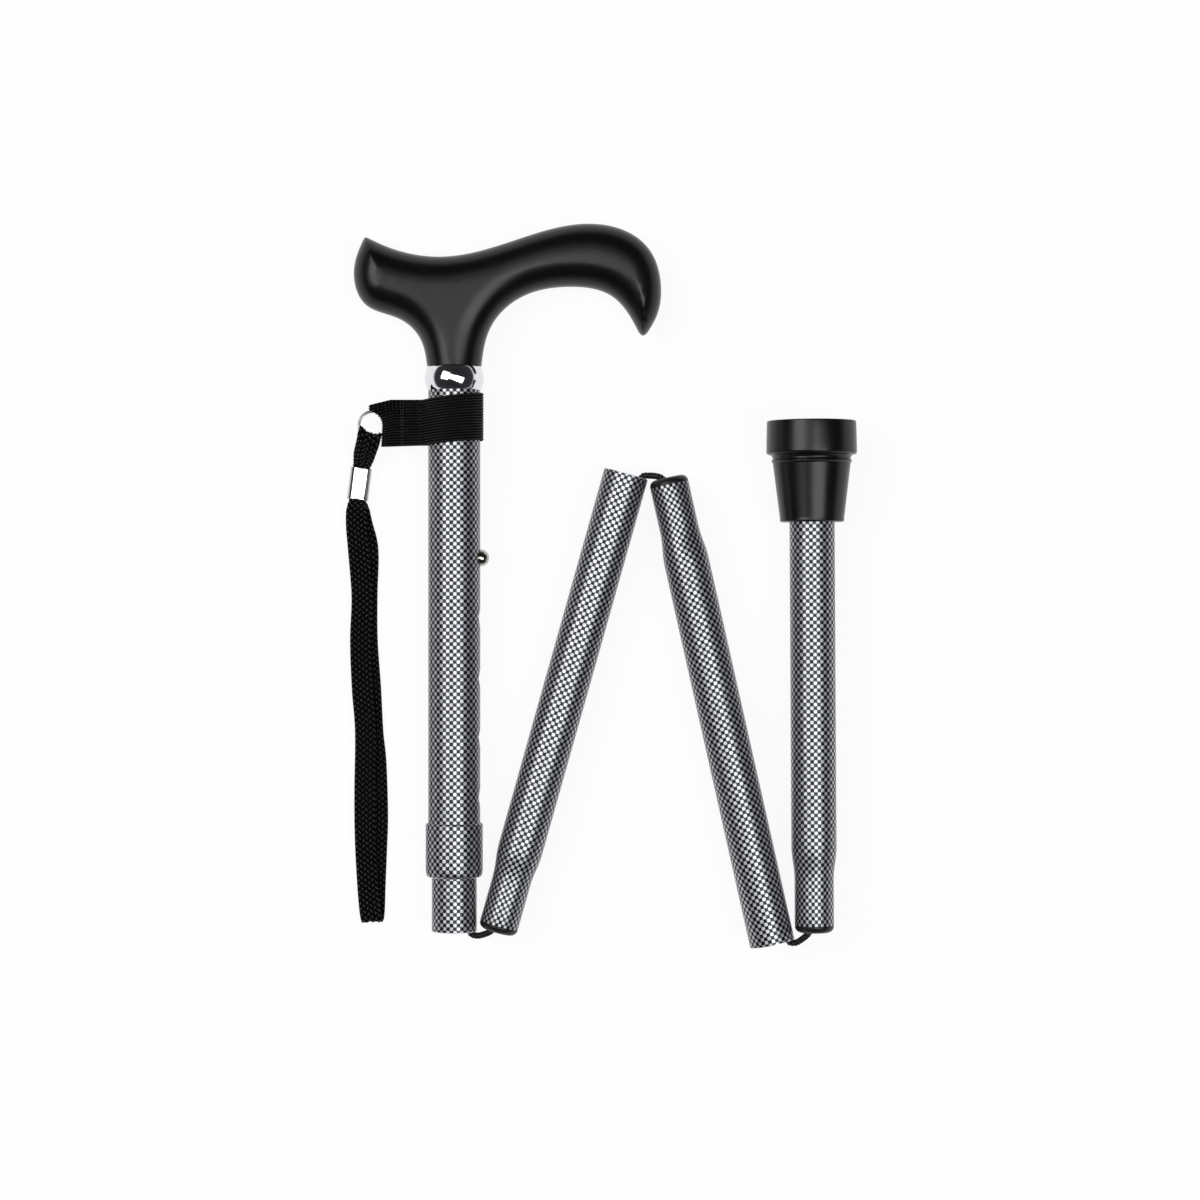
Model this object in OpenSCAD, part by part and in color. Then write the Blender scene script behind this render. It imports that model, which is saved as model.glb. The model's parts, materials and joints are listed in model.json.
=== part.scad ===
// Folding cane, lying on a table as a zigzag of four tube sections.
// The handle section lies along Y with its crown towards +Y, and the table is Z = 0.
// All sizes are in millimetres.

/* [Handle] */
// Diameter of the round neck under the handle
neck_d = 23; // [21:0.5:25]
// Reach of the nose in front of the tube's axis
nose_reach = 87.4; // [75:0.2:100]
// Reach of the heel behind the tube's axis
heel_reach = 42.5; // [36:0.5:50]
// Height of the crown above the foot of the neck
crown_h = 60.2; // [56:0.1:68]
// Radius of the rounding that runs all along the handle
handle_round = 11.6; // [10:0.2:13]
// Radius of the peg hole up the neck
spigot_r = 7; // [5:0.25:8]
// Depth of the peg hole up the neck
spigot_depth = 28; // [18:1:34]

/* [Handle collar] */
// Height of the chrome collar
chrome_h = 10.2; // [8:0.2:14]
// Swell of the chrome collar beyond the upper tube
chrome_swell = 1.5; // [1:0.1:2.5]

/* [Tubes] */
// Outer diameter of the upper tube
upper_d = 22; // [22:0.5:24]
// Outer diameter of the height tube and the folding tubes
tube_d = 19; // [18:0.25:19]
// Wall of every tube
wall = 1.2; // [0.8:0.1:1.4]
// Distance from the neck to the open end of the height tube
height_reach = 238.8; // [200:0.2:290]
// Length of height tube that shows below the upper tube
height_show = 31.8; // [28:0.2:60]
// Length of height tube above the snap button
height_lead = 28.2; // [24:0.2:32]
// Length of the second and third sections, from plug tip to open end
section_len = 200.8; // [180:0.2:220]
// Length of the lower section, from plug tip to the ground face
lower_len = 215; // [200:1:240]

/* [Push joints] */
// Length of the narrowed end that enters the next tube
male_len = 25; // [20:1:30]
// Length of the taper behind the narrowed end
taper_len = 8.5; // [6:0.5:12]
// Radial play of a narrowed end in its tube
push_play = 0.05; // [0.02:0.01:0.1]
// Length of the plug that shows in front of the narrowed end
plug_nose = 3; // [2.8:0.2:6]
// Distance that a section is pulled clear of its tube before it folds
pull_gap = 1; // [0.5:0.1:3]

/* [Zigzag] */
// Angle between the height tube and the second tube
upper_splay = 15.76; // [13:0.1:20]
// Angle between the second and the third tube
middle_splay = 28.42; // [24:0.1:32]
// Angle between the third and the lower tube
lower_splay = 12.33; // [10:0.1:16]
// Room between the height tube and the second plug
upper_gap = 1.4; // [1.4:0.05:2.5]
// Room between the second tube and the third plug
middle_gap = 1.55; // [1.55:0.05:2.5]
// Room between the third tube and the lower plug
lower_gap = 1.25; // [1.25:0.05:2.5]

/* [Height lock] */
// Number of height holes
hole_count = 5; // [3:1:5]
// Distance between the height holes
hole_pitch = 25.4; // [20:0.2:26]
// Distance from the neck to the top height hole
first_hole = 81; // [78:1:84]
// Diameter of the snap button
button_d = 7.2; // [6:0.2:8]
// Reach of the button's ball head out of the upper tube
button_out = 3.4; // [2:0.2:4]
// Outer diameter of the lock collar
collar_d = 24.2; // [24:0.2:27]
// Length of the lock collar
collar_len = 23; // [20:0.5:28]
// Length of upper tube that the lock collar covers
collar_lap = 14; // [10:0.5:16]

/* [Ferrule] */
// Diameter of the ferrule's base band
ferrule_d = 38; // [34:0.5:42]
// Diameter of the ferrule's neck at its open end
ferrule_neck_d = 27.5; // [26:0.5:30]
// Length of the ferrule
ferrule_len = 42.5; // [40:0.5:50]
// Height of the base band
band_h = 14; // [12:0.5:18]

/* [Elastic cord] */
// Diameter of the elastic cord
cord_d = 3; // [2.5:0.1:3.4]

/* [Wrist strap] */
// Width of the elastic band round the upper tube
band_w = 18.6; // [15:0.2:22]
// Thickness of one layer of the band
band_t = 1.4; // [1:0.1:1.8]
// Diameter of the strap ring at the middle of its wire
ring_d = 11.8; // [10:0.2:13]
// Diameter of the ring's wire
wire_d = 1.2; // [0.8:0.1:1.4]
// Width of the flat braid
braid_w = 8.8; // [8:0.2:10]
// Thickness of the flat braid
braid_t = 1.7; // [1.2:0.1:1.8]

/* [Hidden] */
$fn = 96;
// Fits
fit = 0.05;
slide_play = 0.3;
turn_play = 0.15;
cut = 0.5;
// Radii
neck_r = neck_d / 2;
upper_r = upper_d / 2;
upper_bore_r = upper_r - wall;
tube_r = tube_d / 2;
bore_r = tube_r - wall;
male_r = bore_r - push_play;
male_bore_r = male_r - wall;
button_r = button_d / 2;
hole_r = button_r + 0.2;
collar_r = collar_d / 2;
ferrule_r = ferrule_d / 2;
cord_r = cord_d / 2;
// Levels along the handle section, below the foot of the neck
tube_top = 1;
upper_reach = height_reach - height_show;
height_top = first_hole - height_lead;
collar_top = upper_reach - collar_lap;
collar_end = collar_top + collar_len;
collar_lip = 2.6;
collet_h = collar_len - collar_lap - collar_lip - 2 * turn_play;
bush_flange_h = 3;
bush_len = 10;
bush_wall = 2.4;
bush_play = 0.1;
anchor_top = first_hole + 20;
// Height holes that fit above the lock collar
hole_fit = floor((collar_top - hole_r - first_hole) / hole_pitch) + 1;
anchor_len = 10;
// Where the handle section's axis lies
axis_x = -63.4;
axis_y = 92.6;
rest_h = collar_r;

// Directions and places in the plane of the zigzag, from the foot of the neck
function dir(a) = [cos(a), sin(a)];
function perp(v) = [-v[1], v[0]];
height_a = -90;
second_a = height_a + 180 - upper_splay;
third_a = second_a + 180 + middle_splay;
lower_a = third_a + 180 - lower_splay;
upper_setback = 2.3;
middle_setback = 1;
lower_setback = 2.6;
plug_round = 2.6;
// Tip of a folded section, beside the rim that it was pulled out of
function folded_tip(rim, parent_a, child_a, side, gap, setback, splay) =
    let (nose = (male_r - fit - plug_round) * cos(splay) + plug_round * (1 - sin(splay)),
        shoulder = male_r * cos(splay) - plug_nose * sin(splay),
        aside = (max(nose, shoulder) + gap - setback * sin(splay)) / cos(splay))
    rim + side * perp(dir(parent_a)) * tube_r - side * perp(dir(child_a)) * aside + dir(child_a) * setback;
height_rim = [0, -height_reach];
second_tip = folded_tip(height_rim, height_a, second_a, 1, upper_gap, upper_setback, upper_splay);
second_rim = second_tip + dir(second_a) * section_len;
third_tip = folded_tip(second_rim, second_a, third_a, -1, middle_gap, middle_setback,
    middle_splay);
third_rim = third_tip + dir(third_a) * section_len;
lower_tip = folded_tip(third_rim, third_a, lower_a, 1, lower_gap, lower_setback, lower_splay);
ground = lower_tip + dir(lower_a) * lower_len;
// The zigzag leans up from the handle section until the ferrule lies on the table
lean = asin((ferrule_r - rest_h) / ground[0]);
// Point about which a section swings from folded to straight in front of its tube
function swing_pole(rim, parent_a, tip, turn) =
    let (target = rim + dir(parent_a) * pull_gap, way = target - tip)
    (tip + target) / 2 + perp(way) / (2 * tan(turn / 2));
function placed(p) = [axis_x + p[0] * cos(lean), axis_y + p[1], rest_h + p[0] * sin(lean)];
function placed_dir(a) = [cos(a) * cos(lean), sin(a), cos(a) * sin(lean)];
seat_depth = male_len - 0.4;
echo(swing_axis = [-sin(lean), 0, cos(lean)], lean = lean, seat = seat_depth + pull_gap);
echo(height_rim = placed(height_rim), second_rim = placed(second_rim), third_rim = placed(third_rim));
echo(upper_pole = placed(swing_pole(height_rim, height_a, second_tip, upper_splay - 180)),
    second_way = -placed_dir(second_a));
echo(middle_pole = placed(swing_pole(second_rim, second_a, third_tip, 180 - middle_splay)),
    third_way = -placed_dir(third_a));
echo(lower_pole = placed(swing_pole(third_rim, third_a, lower_tip, lower_splay - 180)),
    lower_way = -placed_dir(lower_a), ground = placed(ground));

// Handle outline, three smooth runs that meet at the nose tip and the heel tip
nose_tip = [nose_reach - 7.9, 12.2];
heel_tip = [4.8 - heel_reach, crown_h - 5.3];
inner_run = [[neck_r, 0], [neck_r + 2.7, 13.6], [neck_r + 7, 21.2],
    [27.6, crown_h - 31.4], [nose_reach - 38.4, crown_h - 26.6], [nose_reach - 20.6, crown_h - 31],
    [nose_reach - 13.8, 21.4], nose_tip];
outer_run = [nose_tip, [nose_reach - 2.2, 21.2], [nose_reach, 34.5], [nose_reach - 5.2, crown_h - 10.4],
    [nose_reach - 13.3, crown_h - 3.8], [nose_reach - 31.9, crown_h], [26, crown_h - 6.8],
    [-6, crown_h - 13.9], [12.3 - heel_reach, crown_h - 8.9], heel_tip];
back_run = [heel_tip, [1.1 - heel_reach, crown_h - 14], [-heel_reach, crown_h - 21.5],
    [5 - heel_reach, crown_h - 34.2], [-neck_r - 11.5, 19.9], [-neck_r - 2.6, 11], [-neck_r, 0]];
run_steps = 5;
round_rings = 5;
function curve(a, b, c, d, t) =
    b + (c - a) * t / 2 + (2 * a - 5 * b + 4 * c - d) * t * t / 2 + (3 * b - a - 3 * c + d) * t * t * t / 2;
function smooth(p, steps) = [for (i = [0:len(p) - 2], k = [0:steps - 1])
    curve(p[max(i - 1, 0)], p[i], p[i + 1], p[min(i + 2, len(p) - 1)], k / steps)];
handle_line = concat(smooth(inner_run, run_steps), smooth(outer_run, run_steps),
    smooth(back_run, run_steps), [back_run[len(back_run) - 1]]);
// Direction into the outline at point i, level at the flat foot of the neck
function inward(p, i) =
    let (n = len(p), t = p[(i + 1) % n] - p[(i + n - 1) % n])
    i == 0 ? [-1, 0] : i == n - 1 ? [1, 0] : perp(t / norm(t));
// Radius of the largest circle inside the outline that touches it at point i
function inner_r(p, i, n) = min([for (j = [0:len(p) - 1])
    let (d = p[j] - p[i], s = n * d) if (j != i && s > 0.001) d * d / (2 * s)]);
function inset(p, i) = min(handle_round, 0.9 * inner_r(p, i, inward(p, i)));
// Triangles between two runs of points, numbered in step along them
function chain(from, to) = [for (i = [from:sign(to - from):to]) i];
function ladder(a, b) = let (u = len(a) - 1, v = len(b) - 1) [
    for (i = [0:u - 1]) let (c = b[ceil((i + 0.5) / u * v - 0.5)])
        if (c != a[i] && c != a[i + 1]) [a[i], a[i + 1], c],
    for (j = [0:v - 1]) let (c = a[floor((j + 0.5) / v * u + 0.5)])
        if (c != b[j] && c != b[j + 1]) [b[j + 1], b[j], c]];
// The flat of the handle is a ladder along the arm, the heel and the neck, and a fan between these
nose_i = (len(inner_run) - 1) * run_steps;
heel_i = nose_i + (len(outer_run) - 1) * run_steps;
neck_end = 2 * run_steps;
arm_end = 3 * run_steps;
arm_crown = nose_i + 6 * run_steps;
heel_crown = nose_i + 7 * run_steps;
heel_end = heel_i + 4 * run_steps;
fan_rim = concat(chain(neck_end, arm_end), chain(arm_crown, heel_crown));
handle_flat = concat(ladder(chain(nose_i, arm_end), chain(nose_i, arm_crown)),
    ladder(chain(heel_i, heel_crown), chain(heel_i, heel_end)),
    ladder(chain(len(handle_line) - 1, heel_end), chain(0, neck_end)),
    [for (k = [0:len(fan_rim) - 2]) [heel_end, fan_rim[k + 1], fan_rim[k]]]);

// Elastic cord and strap routes
cord_play = 0.35;
cord_gap = 0.3;
cord_in = 27;
cord_out = 30;
funnel_r = 5;
arch_rise = 1.2;
function bend_route(rim, parent_a, side, tip, child_a) =
    let (d = dir(parent_a), n = side * perp(d), c = dir(child_a), away = -side * perp(c),
        near = bore_r - cord_r - cord_play, over = cord_r + cord_play,
        lip = rim + n * tube_r + d * over, mouth = tip - away * (cord_r + 0.7))
    [rim - d * cord_in, rim - d * (cord_in - 5), rim - d * 12 + n * near * 0.6, rim - d * 4 + n * near,
        rim + d * 0.6 + n * (near + 0.3), lip, (lip + mouth) / 2 + d * arch_rise, mouth,
        tip + c * 6, tip + c * 12, tip + c * cord_out];
// Points of the strap from the foot of the neck, with heights above the table
crimp_top = [-39.9, -42.5, 2.9];
crimp_foot = [-41.6, -56.2, 2.9];
bight_route = [[-40.6, -48, 3.9], [-39.9, -42.2, 4], [-38.4, -37.2, 9.2], [-36.9, -33, 13.2],
    [-36.4, -30.6, 14.1], [-35.9, -29.2, 13.5], [-35.7, -28.6, 12.1], [-35.9, -29.2, 10.7],
    [-36.4, -30.6, 10.1], [-36.9, -33, 8.6], [-38.4, -37.2, 5.2], [-39.9, -42.2, 1.9], [-40.6, -48, 1.9]];
loop_route = [[-41, -51, 3.9], [-41.7, -56.5, 3.9], [-42.1, -66, 3.5], [-41.2, -77.6, 3.4],
    [-39.7, -97, 3.4], [-40.3, -116, 3.4], [-39.6, -136, 3.4], [-38.2, -155, 3.4], [-38.5, -181, 3.4],
    [-38.3, -200, 3.4], [-37.3, -219, 3.8], [-36.2, -231, 4.6], [-35.3, -235.4, 3], [-34.6, -231.5, 1.3],
    [-34.2, -219, 1], [-33.6, -204, 1], [-33.2, -190, 1], [-33.9, -168, 1], [-35.2, -155, 1],
    [-36.2, -136, 1], [-37.6, -116, 1], [-37.7, -97, 1], [-37.3, -77.6, 1], [-39.9, -66, 1.1],
    [-41.7, -56.5, 1.9], [-41, -51, 1.9]];
ring_x = -34.4;
ring_y = -25;

module handle_frame() {
    translate([axis_x, axis_y, rest_h]) children();
}

module table_frame() {
    translate([axis_x, axis_y, 0]) children();
}

module zigzag_plane() {
    handle_frame() rotate([0, -lean, 0]) children();
}

// Places a section drawn along +Y with its plug tip at the origin
module section(tip, a) {
    zigzag_plane() translate([tip[0], tip[1], 0]) rotate([0, 0, a - 90]) children();
}

// Turns a profile of [radius, distance along Y] about the Y axis
module turned(profile) {
    rotate([-90, 0, 0]) rotate_extrude() polygon(profile);
}

module rod_y(r, from, to) {
    translate([0, from, 0]) rotate([-90, 0, 0]) cylinder(r = r, h = to - from);
}

module rod_x(r, from, to) {
    translate([from, 0, 0]) rotate([0, 90, 0]) cylinder(r = r, h = to - from);
}

// Sweeps an oval along a route, with a width for each point and its wide side along across
module swept(route, widths, thick, across, sides) {
    n = len(route);
    rings = [for (i = [0:n - 1])
        let (t = route[min(i + 1, n - 1)] - route[max(i - 1, 0)], f = t / norm(t),
            flat = across - (across * f) * f, w = flat / norm(flat), u = cross(f, w))
        for (k = [0:sides - 1]) route[i] + w * cos(360 * k / sides) * widths[i] / 2
            + u * sin(360 * k / sides) * thick / 2];
    sheets = [for (i = [0:n - 2], k = [0:sides - 1], half = [0, 1])
        let (a = i * sides + k, b = i * sides + (k + 1) % sides)
        half == 0 ? [a, a + sides, b + sides] : [a, b + sides, b]];
    ends = [[for (k = [0:sides - 1]) k], [for (k = [sides - 1:-1:0]) (n - 1) * sides + k]];
    polyhedron(rings, concat(sheets, ends));
}

// Handle section
module handle() {
    n = len(handle_line);
    depth = [for (i = [0:n - 1]) inset(handle_line, i)];
    levels = [for (k = [-round_rings:round_rings]) 90 * k / round_rings];
    points = [for (f = levels, i = [0:n - 1])
        let (t = depth[i] * (1 - cos(f)), p = handle_line[i] + inward(handle_line, i) * t)
        [p[0], p[1], sign(f) * sqrt(2 * handle_round * t - t * t)]];
    sides = [for (k = [0:2 * round_rings - 1], i = [0:n - 1], half = [0, 1])
        let (a = k * n + i, b = k * n + (i + 1) % n)
        half == 0 ? [a, a + n, b + n] : [a, b + n, b]];
    top = 2 * round_rings * n;
    caps = concat([for (t = handle_flat) [t[2], t[1], t[0]]], [for (t = handle_flat) [for (i = t) top + i]]);
    color("#1b1b1d") handle_frame() difference() {
        polyhedron(points, concat(sides, caps));
        rod_y(spigot_r, -cut, spigot_depth);
        rod_y(screw_r + fit, spigot_depth - cut, spigot_depth + screw_bite + 1);
    }
}

module handle_collar() {
    bore = upper_r + fit;
    mid = upper_r + chrome_swell;
    end = upper_r + 0.45;
    color("#d6d8da") handle_frame() turned([[bore, 0], [end, 0], [mid - 0.5, -chrome_h * 0.18],
        [mid, -chrome_h * 0.42], [mid, -chrome_h * 0.58], [mid - 0.5, -chrome_h * 0.82],
        [end, -chrome_h], [bore, -chrome_h]]);
}

spigot_skirt = 30;
screw_r = 2.2;
screw_reach = 20;
screw_bite = 10;
module handle_spigot() {
    color("#3a3a3c") handle_frame() difference() {
        union() {
            rod_y(spigot_r - fit, -tube_top, spigot_depth - 1);
            rod_y(upper_bore_r - fit, -spigot_skirt, -tube_top);
        }
        rod_y(screw_r + fit, -spigot_skirt - cut, spigot_depth);
        rod_y(2 * screw_r, -spigot_skirt - cut, -screw_reach);
    }
}

module spigot_screw() {
    color("#b8babd") handle_frame() {
        rod_y(screw_r, -screw_reach, spigot_depth + screw_bite);
        rod_y(2 * screw_r - 4 * fit, -screw_reach - 3, -screw_reach);
    }
}

module upper_tube() {
    color("#5d6064") handle_frame() difference() {
        turned([[upper_bore_r, -upper_reach], [upper_r, -upper_reach], [upper_r, -tube_top],
            [upper_bore_r, -tube_top]]);
        for (i = [0:min(hole_count, hole_fit) - 1]) translate([0, -first_hole - i * hole_pitch, 0])
            rod_x(hole_r, 0, upper_r + 1);
    }
}

module lock_collar() {
    bore = upper_r + turn_play;
    throat = tube_r + slide_play;
    color("#5d6064") handle_frame() turned([[bore, -collar_top], [collar_r - 0.3, -collar_top],
        [collar_r, -collar_top - 0.8], [collar_r, -collar_end + 2], [collar_r - 0.5, -collar_end + 0.7],
        [collar_r - 1.5, -collar_end], [throat, -collar_end], [throat, -collar_end + collar_lip],
        [bore, -collar_end + collar_lip]]);
}

module collet() {
    top = upper_reach + turn_play;
    color("#2a2a2c") handle_frame() difference() {
        turned([[tube_r + turn_play, -top - collet_h], [upper_r - 0.6, -top - collet_h], [upper_r, -top - 1],
            [upper_r, -top], [tube_r + turn_play, -top]]);
        translate([0, -top - collet_h / 2, -0.75]) translate([0, -collet_h, 0])
            cube([2 * upper_r, 2 * collet_h, 1.5]);
    }
}

// Wrist strap
tail_end_w = 12;
tail_taper = 6;
band_slant = 1.2;
ring_play = 0.2;
fold_r = wire_d / 2 + ring_play + band_t;
module ring_shape(r) {
    rotate_extrude() translate([ring_d / 2, 0]) circle(r = r, $fn = 32);
}

module strap_band() {
    fold_x = ring_x + ring_d / 2;
    color("#161617") handle_frame() translate([0, ring_y, 0]) difference() {
        union() {
            rod_y(upper_r + band_t, band_slant - band_w / 2, band_slant + band_w / 2);
            linear_extrude(2 * band_t, center = true) polygon([[-upper_r, -band_w / 2],
                [-upper_r, band_w / 2], [fold_x + tail_taper, band_w / 2], [fold_x, tail_end_w / 2],
                [fold_x, -tail_end_w / 2], [fold_x + tail_taper, -band_w / 2]]);
            translate([fold_x, 0, 0]) rod_y(fold_r, -tail_end_w / 2, tail_end_w / 2);
        }
        rod_y(upper_r + fit, -band_w, band_w);
        translate([ring_x, 0, 0]) ring_shape(wire_d / 2 + ring_play);
    }
}

module strap_ring() {
    color("#c9cbce") handle_frame() translate([ring_x, ring_y, 0]) ring_shape(wire_d / 2);
}

crimp_w = 9.4;
crimp_t = 5.4;
crimp_wall = 0.6;
crimped_w = crimp_w - 2 * crimp_wall - 1.2;
eye_w = 5.6;
module oval_bar(w, t, len) {
    hull() for (s = [-1, 1]) translate([s * (w - t) / 2, 0, 0]) cylinder(d = t, h = len, $fn = 32);
}

module strap_crimp() {
    way = crimp_top - crimp_foot;
    turn = atan2(-way[0], way[1]);
    color("#d3d5d8") table_frame() translate(crimp_foot) rotate([0, 0, turn]) rotate([-90, 0, 0])
        difference() {
            oval_bar(crimp_w, crimp_t, norm(way));
            translate([0, 0, -cut])
                oval_bar(crimp_w - 2 * crimp_wall, crimp_t - 2 * crimp_wall, norm(way) + 2 * cut);
        }
}

// Flat braid whose two ends are squeezed in the crimp, with its width at the far end
module flat_braid(route, far_w, across) {
    last = len(route) - 1;
    widths = [for (i = [0:last])
        i < 2 || i > last - 2 ? crimped_w : abs(i - last / 2) < 2.5 ? far_w : braid_w];
    color("#161617") table_frame() swept(route, widths, braid_t, across, 10);
}

// The bight is gathered where it lies round the ring's wire
module strap_bight() {
    flat_braid(bight_route, eye_w, [0.94, -0.34, 0]);
}

module strap_loop() {
    flat_braid(loop_route, braid_w, [1, 0.1, 0]);
}

// Height section
module height_tube() {
    color("#5d6064") handle_frame() difference() {
        turned([[bore_r, -height_reach], [tube_r, -height_reach], [tube_r, -height_top],
            [bore_r, -height_top]]);
        translate([0, -first_hole, 0]) rod_x(hole_r, 0, tube_r + 1);
    }
}

module top_bush() {
    hole = bore_r - bush_wall;
    flange = upper_bore_r - bush_play;
    foot = -height_top - bush_len;
    color("#2a2a2c") handle_frame() turned([[hole, foot], [bore_r - fit, foot], [bore_r - fit, -height_top],
        [flange, -height_top], [flange, -height_top + bush_flange_h], [hole, -height_top + bush_flange_h]]);
}

button_base = 5.2;
button_flange = 1.2;
module snap_button() {
    dome_at = upper_r + button_out - button_r;
    color("#c4c6c9") handle_frame() translate([0, -first_hole, 0]) {
        rod_x(button_r, button_base, dome_at);
        rod_x(button_r + 1, button_base, button_base + button_flange);
        translate([dome_at, 0, 0]) sphere(r = button_r);
    }
}

leaf_t = 0.6;
leaf_w = 6;
leaf_bend = 1.5;
module snap_spring() {
    front = button_base - 0.05;
    back = -bore_r + 0.75;
    top = -first_hole + 15;
    knee = top - 7;
    foot = -first_hole - 11;
    mid = (front + back) / 2;
    color("#aeb0b3") handle_frame() translate([0, 0, -leaf_w / 2]) linear_extrude(leaf_w)
        polygon([[front, foot], [front, knee], [mid + leaf_bend, top], [mid - leaf_bend, top], [back, knee],
            [back, foot], [back + leaf_t, foot], [back + leaf_t, knee], [mid - leaf_bend / 2, top - leaf_t],
            [mid + leaf_bend / 2, top - leaf_t], [front - leaf_t, knee], [front - leaf_t, foot]]);
}

knot_r = 3;
module cord_run(from, to) {
    color("#121213") rod_y(cord_r, from, to);
}

module upper_anchor() {
    color("#2a2a2c") handle_frame() difference() {
        rod_y(bore_r - fit, -anchor_top - anchor_len, -anchor_top);
        rod_y(cord_r + fit, -anchor_top - anchor_len - cut, -anchor_top + cut);
    }
}

module height_cord() {
    handle_frame() {
        cord_run(-height_reach + cord_in + cord_gap, -anchor_top + knot_r);
        color("#121213") translate([0, -anchor_top + knot_r + fit, 0]) sphere(r = knot_r);
    }
}

// Elastic cord where it bends from one tube to the next
module bend(rim, parent_a, side, tip, child_a) {
    flat = smooth(bend_route(rim, parent_a, side, tip, child_a), 3);
    route = concat([for (p = flat) [p[0], p[1], 0]], [concat(tip + dir(child_a) * cord_out, 0)]);
    color("#121213") zigzag_plane() swept(route, [for (p = route) cord_d], cord_d, [0, 0, 1], 8);
}

module upper_bend() {
    bend(height_rim, height_a, 1, second_tip, second_a);
}

module middle_bend() {
    bend(second_rim, second_a, -1, third_tip, third_a);
}

module lower_bend() {
    bend(third_rim, third_a, 1, lower_tip, lower_a);
}

// Folding sections
module folding_tube(len) {
    color("#5d6064") turned([[male_bore_r, plug_nose], [male_r, plug_nose], [male_r, male_len],
        [tube_r, male_len + taper_len], [tube_r, len], [bore_r, len], [bore_r, male_len + taper_len],
        [male_bore_r, male_len]]);
}

plug_len = 18;
module end_plug() {
    hole = cord_r + cord_play + 0.3;
    nose = male_r - fit;
    color("#232325") turned(concat([[funnel_r, 0]],
        [for (f = [0:15:90]) [nose - plug_round + plug_round * sin(f), plug_round - plug_round * cos(f)]],
        [[nose, plug_nose], [male_bore_r - fit, plug_nose], [male_bore_r - fit, plug_len], [hole, plug_len],
            [hole, funnel_r]]));
}

module second_tube() {
    section(second_tip, second_a) folding_tube(section_len);
}

module second_plug() {
    section(second_tip, second_a) end_plug();
}

module second_cord() {
    section(second_tip, second_a) cord_run(cord_out + cord_gap, section_len - cord_in - cord_gap);
}

module third_tube() {
    section(third_tip, third_a) folding_tube(section_len);
}

module third_plug() {
    section(third_tip, third_a) end_plug();
}

module third_cord() {
    section(third_tip, third_a) cord_run(cord_out + cord_gap, section_len - cord_in - cord_gap);
}

base_h = 10;
washer_h = 2;
washer_r = 11;
washer_up = 5;
tube_end = lower_len - base_h;
anchor_end = tube_end - 8;
module lower_tube() {
    section(lower_tip, lower_a) folding_tube(tube_end);
}

module lower_plug() {
    section(lower_tip, lower_a) end_plug();
}

module lower_cord() {
    section(lower_tip, lower_a) {
        cord_run(cord_out + cord_gap, anchor_end + knot_r);
        color("#121213") translate([0, anchor_end + knot_r + fit, 0]) sphere(r = knot_r);
    }
}

module lower_anchor() {
    color("#2a2a2c") section(lower_tip, lower_a) difference() {
        rod_y(bore_r - fit, anchor_end - anchor_len, anchor_end);
        rod_y(cord_r + fit, anchor_end - anchor_len - cut, anchor_end + cut);
    }
}

bead_r = 1.6;
groove = 0.9;
tread_depth = 1.2;
tread_from = 7;
tread_pitch = 4;
tread_w = 1.6;
module ferrule() {
    socket = tube_r + fit;
    neck = ferrule_neck_d / 2;
    open = lower_len - ferrule_len;
    band = lower_len - band_h;
    shoulder = ferrule_r - 2.6;
    color("#2b2b2d") section(lower_tip, lower_a) difference() {
        turned([[0, tube_end], [socket, tube_end], [socket, open + 1], [socket + 0.8, open], [neck - 1, open],
            [neck, open + 1], [shoulder - 1.2, band - 2 * bead_r - groove], [shoulder, band - 2 * bead_r],
            [shoulder + 0.5, band - bead_r], [shoulder, band - groove], [shoulder, band],
            [ferrule_r - 1, band], [ferrule_r, band + 1], [ferrule_r, lower_len - 1.5],
            [ferrule_r - 1.5, lower_len], [0, lower_len]]);
        rod_y(washer_r + fit, lower_len - washer_up - fit, lower_len - washer_up + washer_h + fit);
        for (r = [tread_from:tread_pitch:ferrule_r - 3]) turned([[r, lower_len - tread_depth],
            [r + tread_w, lower_len - tread_depth], [r + tread_w, lower_len + cut], [r, lower_len + cut]]);
    }
}

module ferrule_washer() {
    color("#9a9ca0") section(lower_tip, lower_a)
        rod_y(washer_r, lower_len - washer_up, lower_len - washer_up + washer_h);
}

handle();
handle_collar();
handle_spigot();
spigot_screw();
upper_tube();
lock_collar();
collet();
strap_band();
strap_ring();
strap_crimp();
strap_bight();
strap_loop();
height_tube();
top_bush();
snap_button();
snap_spring();
upper_anchor();
height_cord();
upper_bend();
second_tube();
second_plug();
second_cord();
middle_bend();
third_tube();
third_plug();
third_cord();
lower_bend();
lower_tube();
lower_plug();
lower_cord();
lower_anchor();
ferrule();
ferrule_washer();
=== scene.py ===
"""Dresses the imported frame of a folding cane: lacquered handle, printed tubes, strap and rubber foot."""

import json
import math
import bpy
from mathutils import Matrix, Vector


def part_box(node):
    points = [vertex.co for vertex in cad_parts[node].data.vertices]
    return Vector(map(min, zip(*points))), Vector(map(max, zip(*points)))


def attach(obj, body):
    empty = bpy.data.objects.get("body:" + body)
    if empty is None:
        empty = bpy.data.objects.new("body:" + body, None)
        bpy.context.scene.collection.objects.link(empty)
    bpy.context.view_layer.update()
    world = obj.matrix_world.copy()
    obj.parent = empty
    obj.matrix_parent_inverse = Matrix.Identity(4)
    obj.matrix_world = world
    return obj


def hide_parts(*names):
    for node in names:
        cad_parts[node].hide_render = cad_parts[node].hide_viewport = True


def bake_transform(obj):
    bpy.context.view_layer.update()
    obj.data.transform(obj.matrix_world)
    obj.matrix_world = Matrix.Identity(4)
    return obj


bl_info = {
    "name": "Folding cane",
    "version": (1, 0, 0),
    "blender": (4, 5, 0),
    "location": "3D View > Sidebar > Folding cane",
    "description": "Makes the finished pieces of a folding cane on its packed frame",
    "category": "Object",
}

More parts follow.
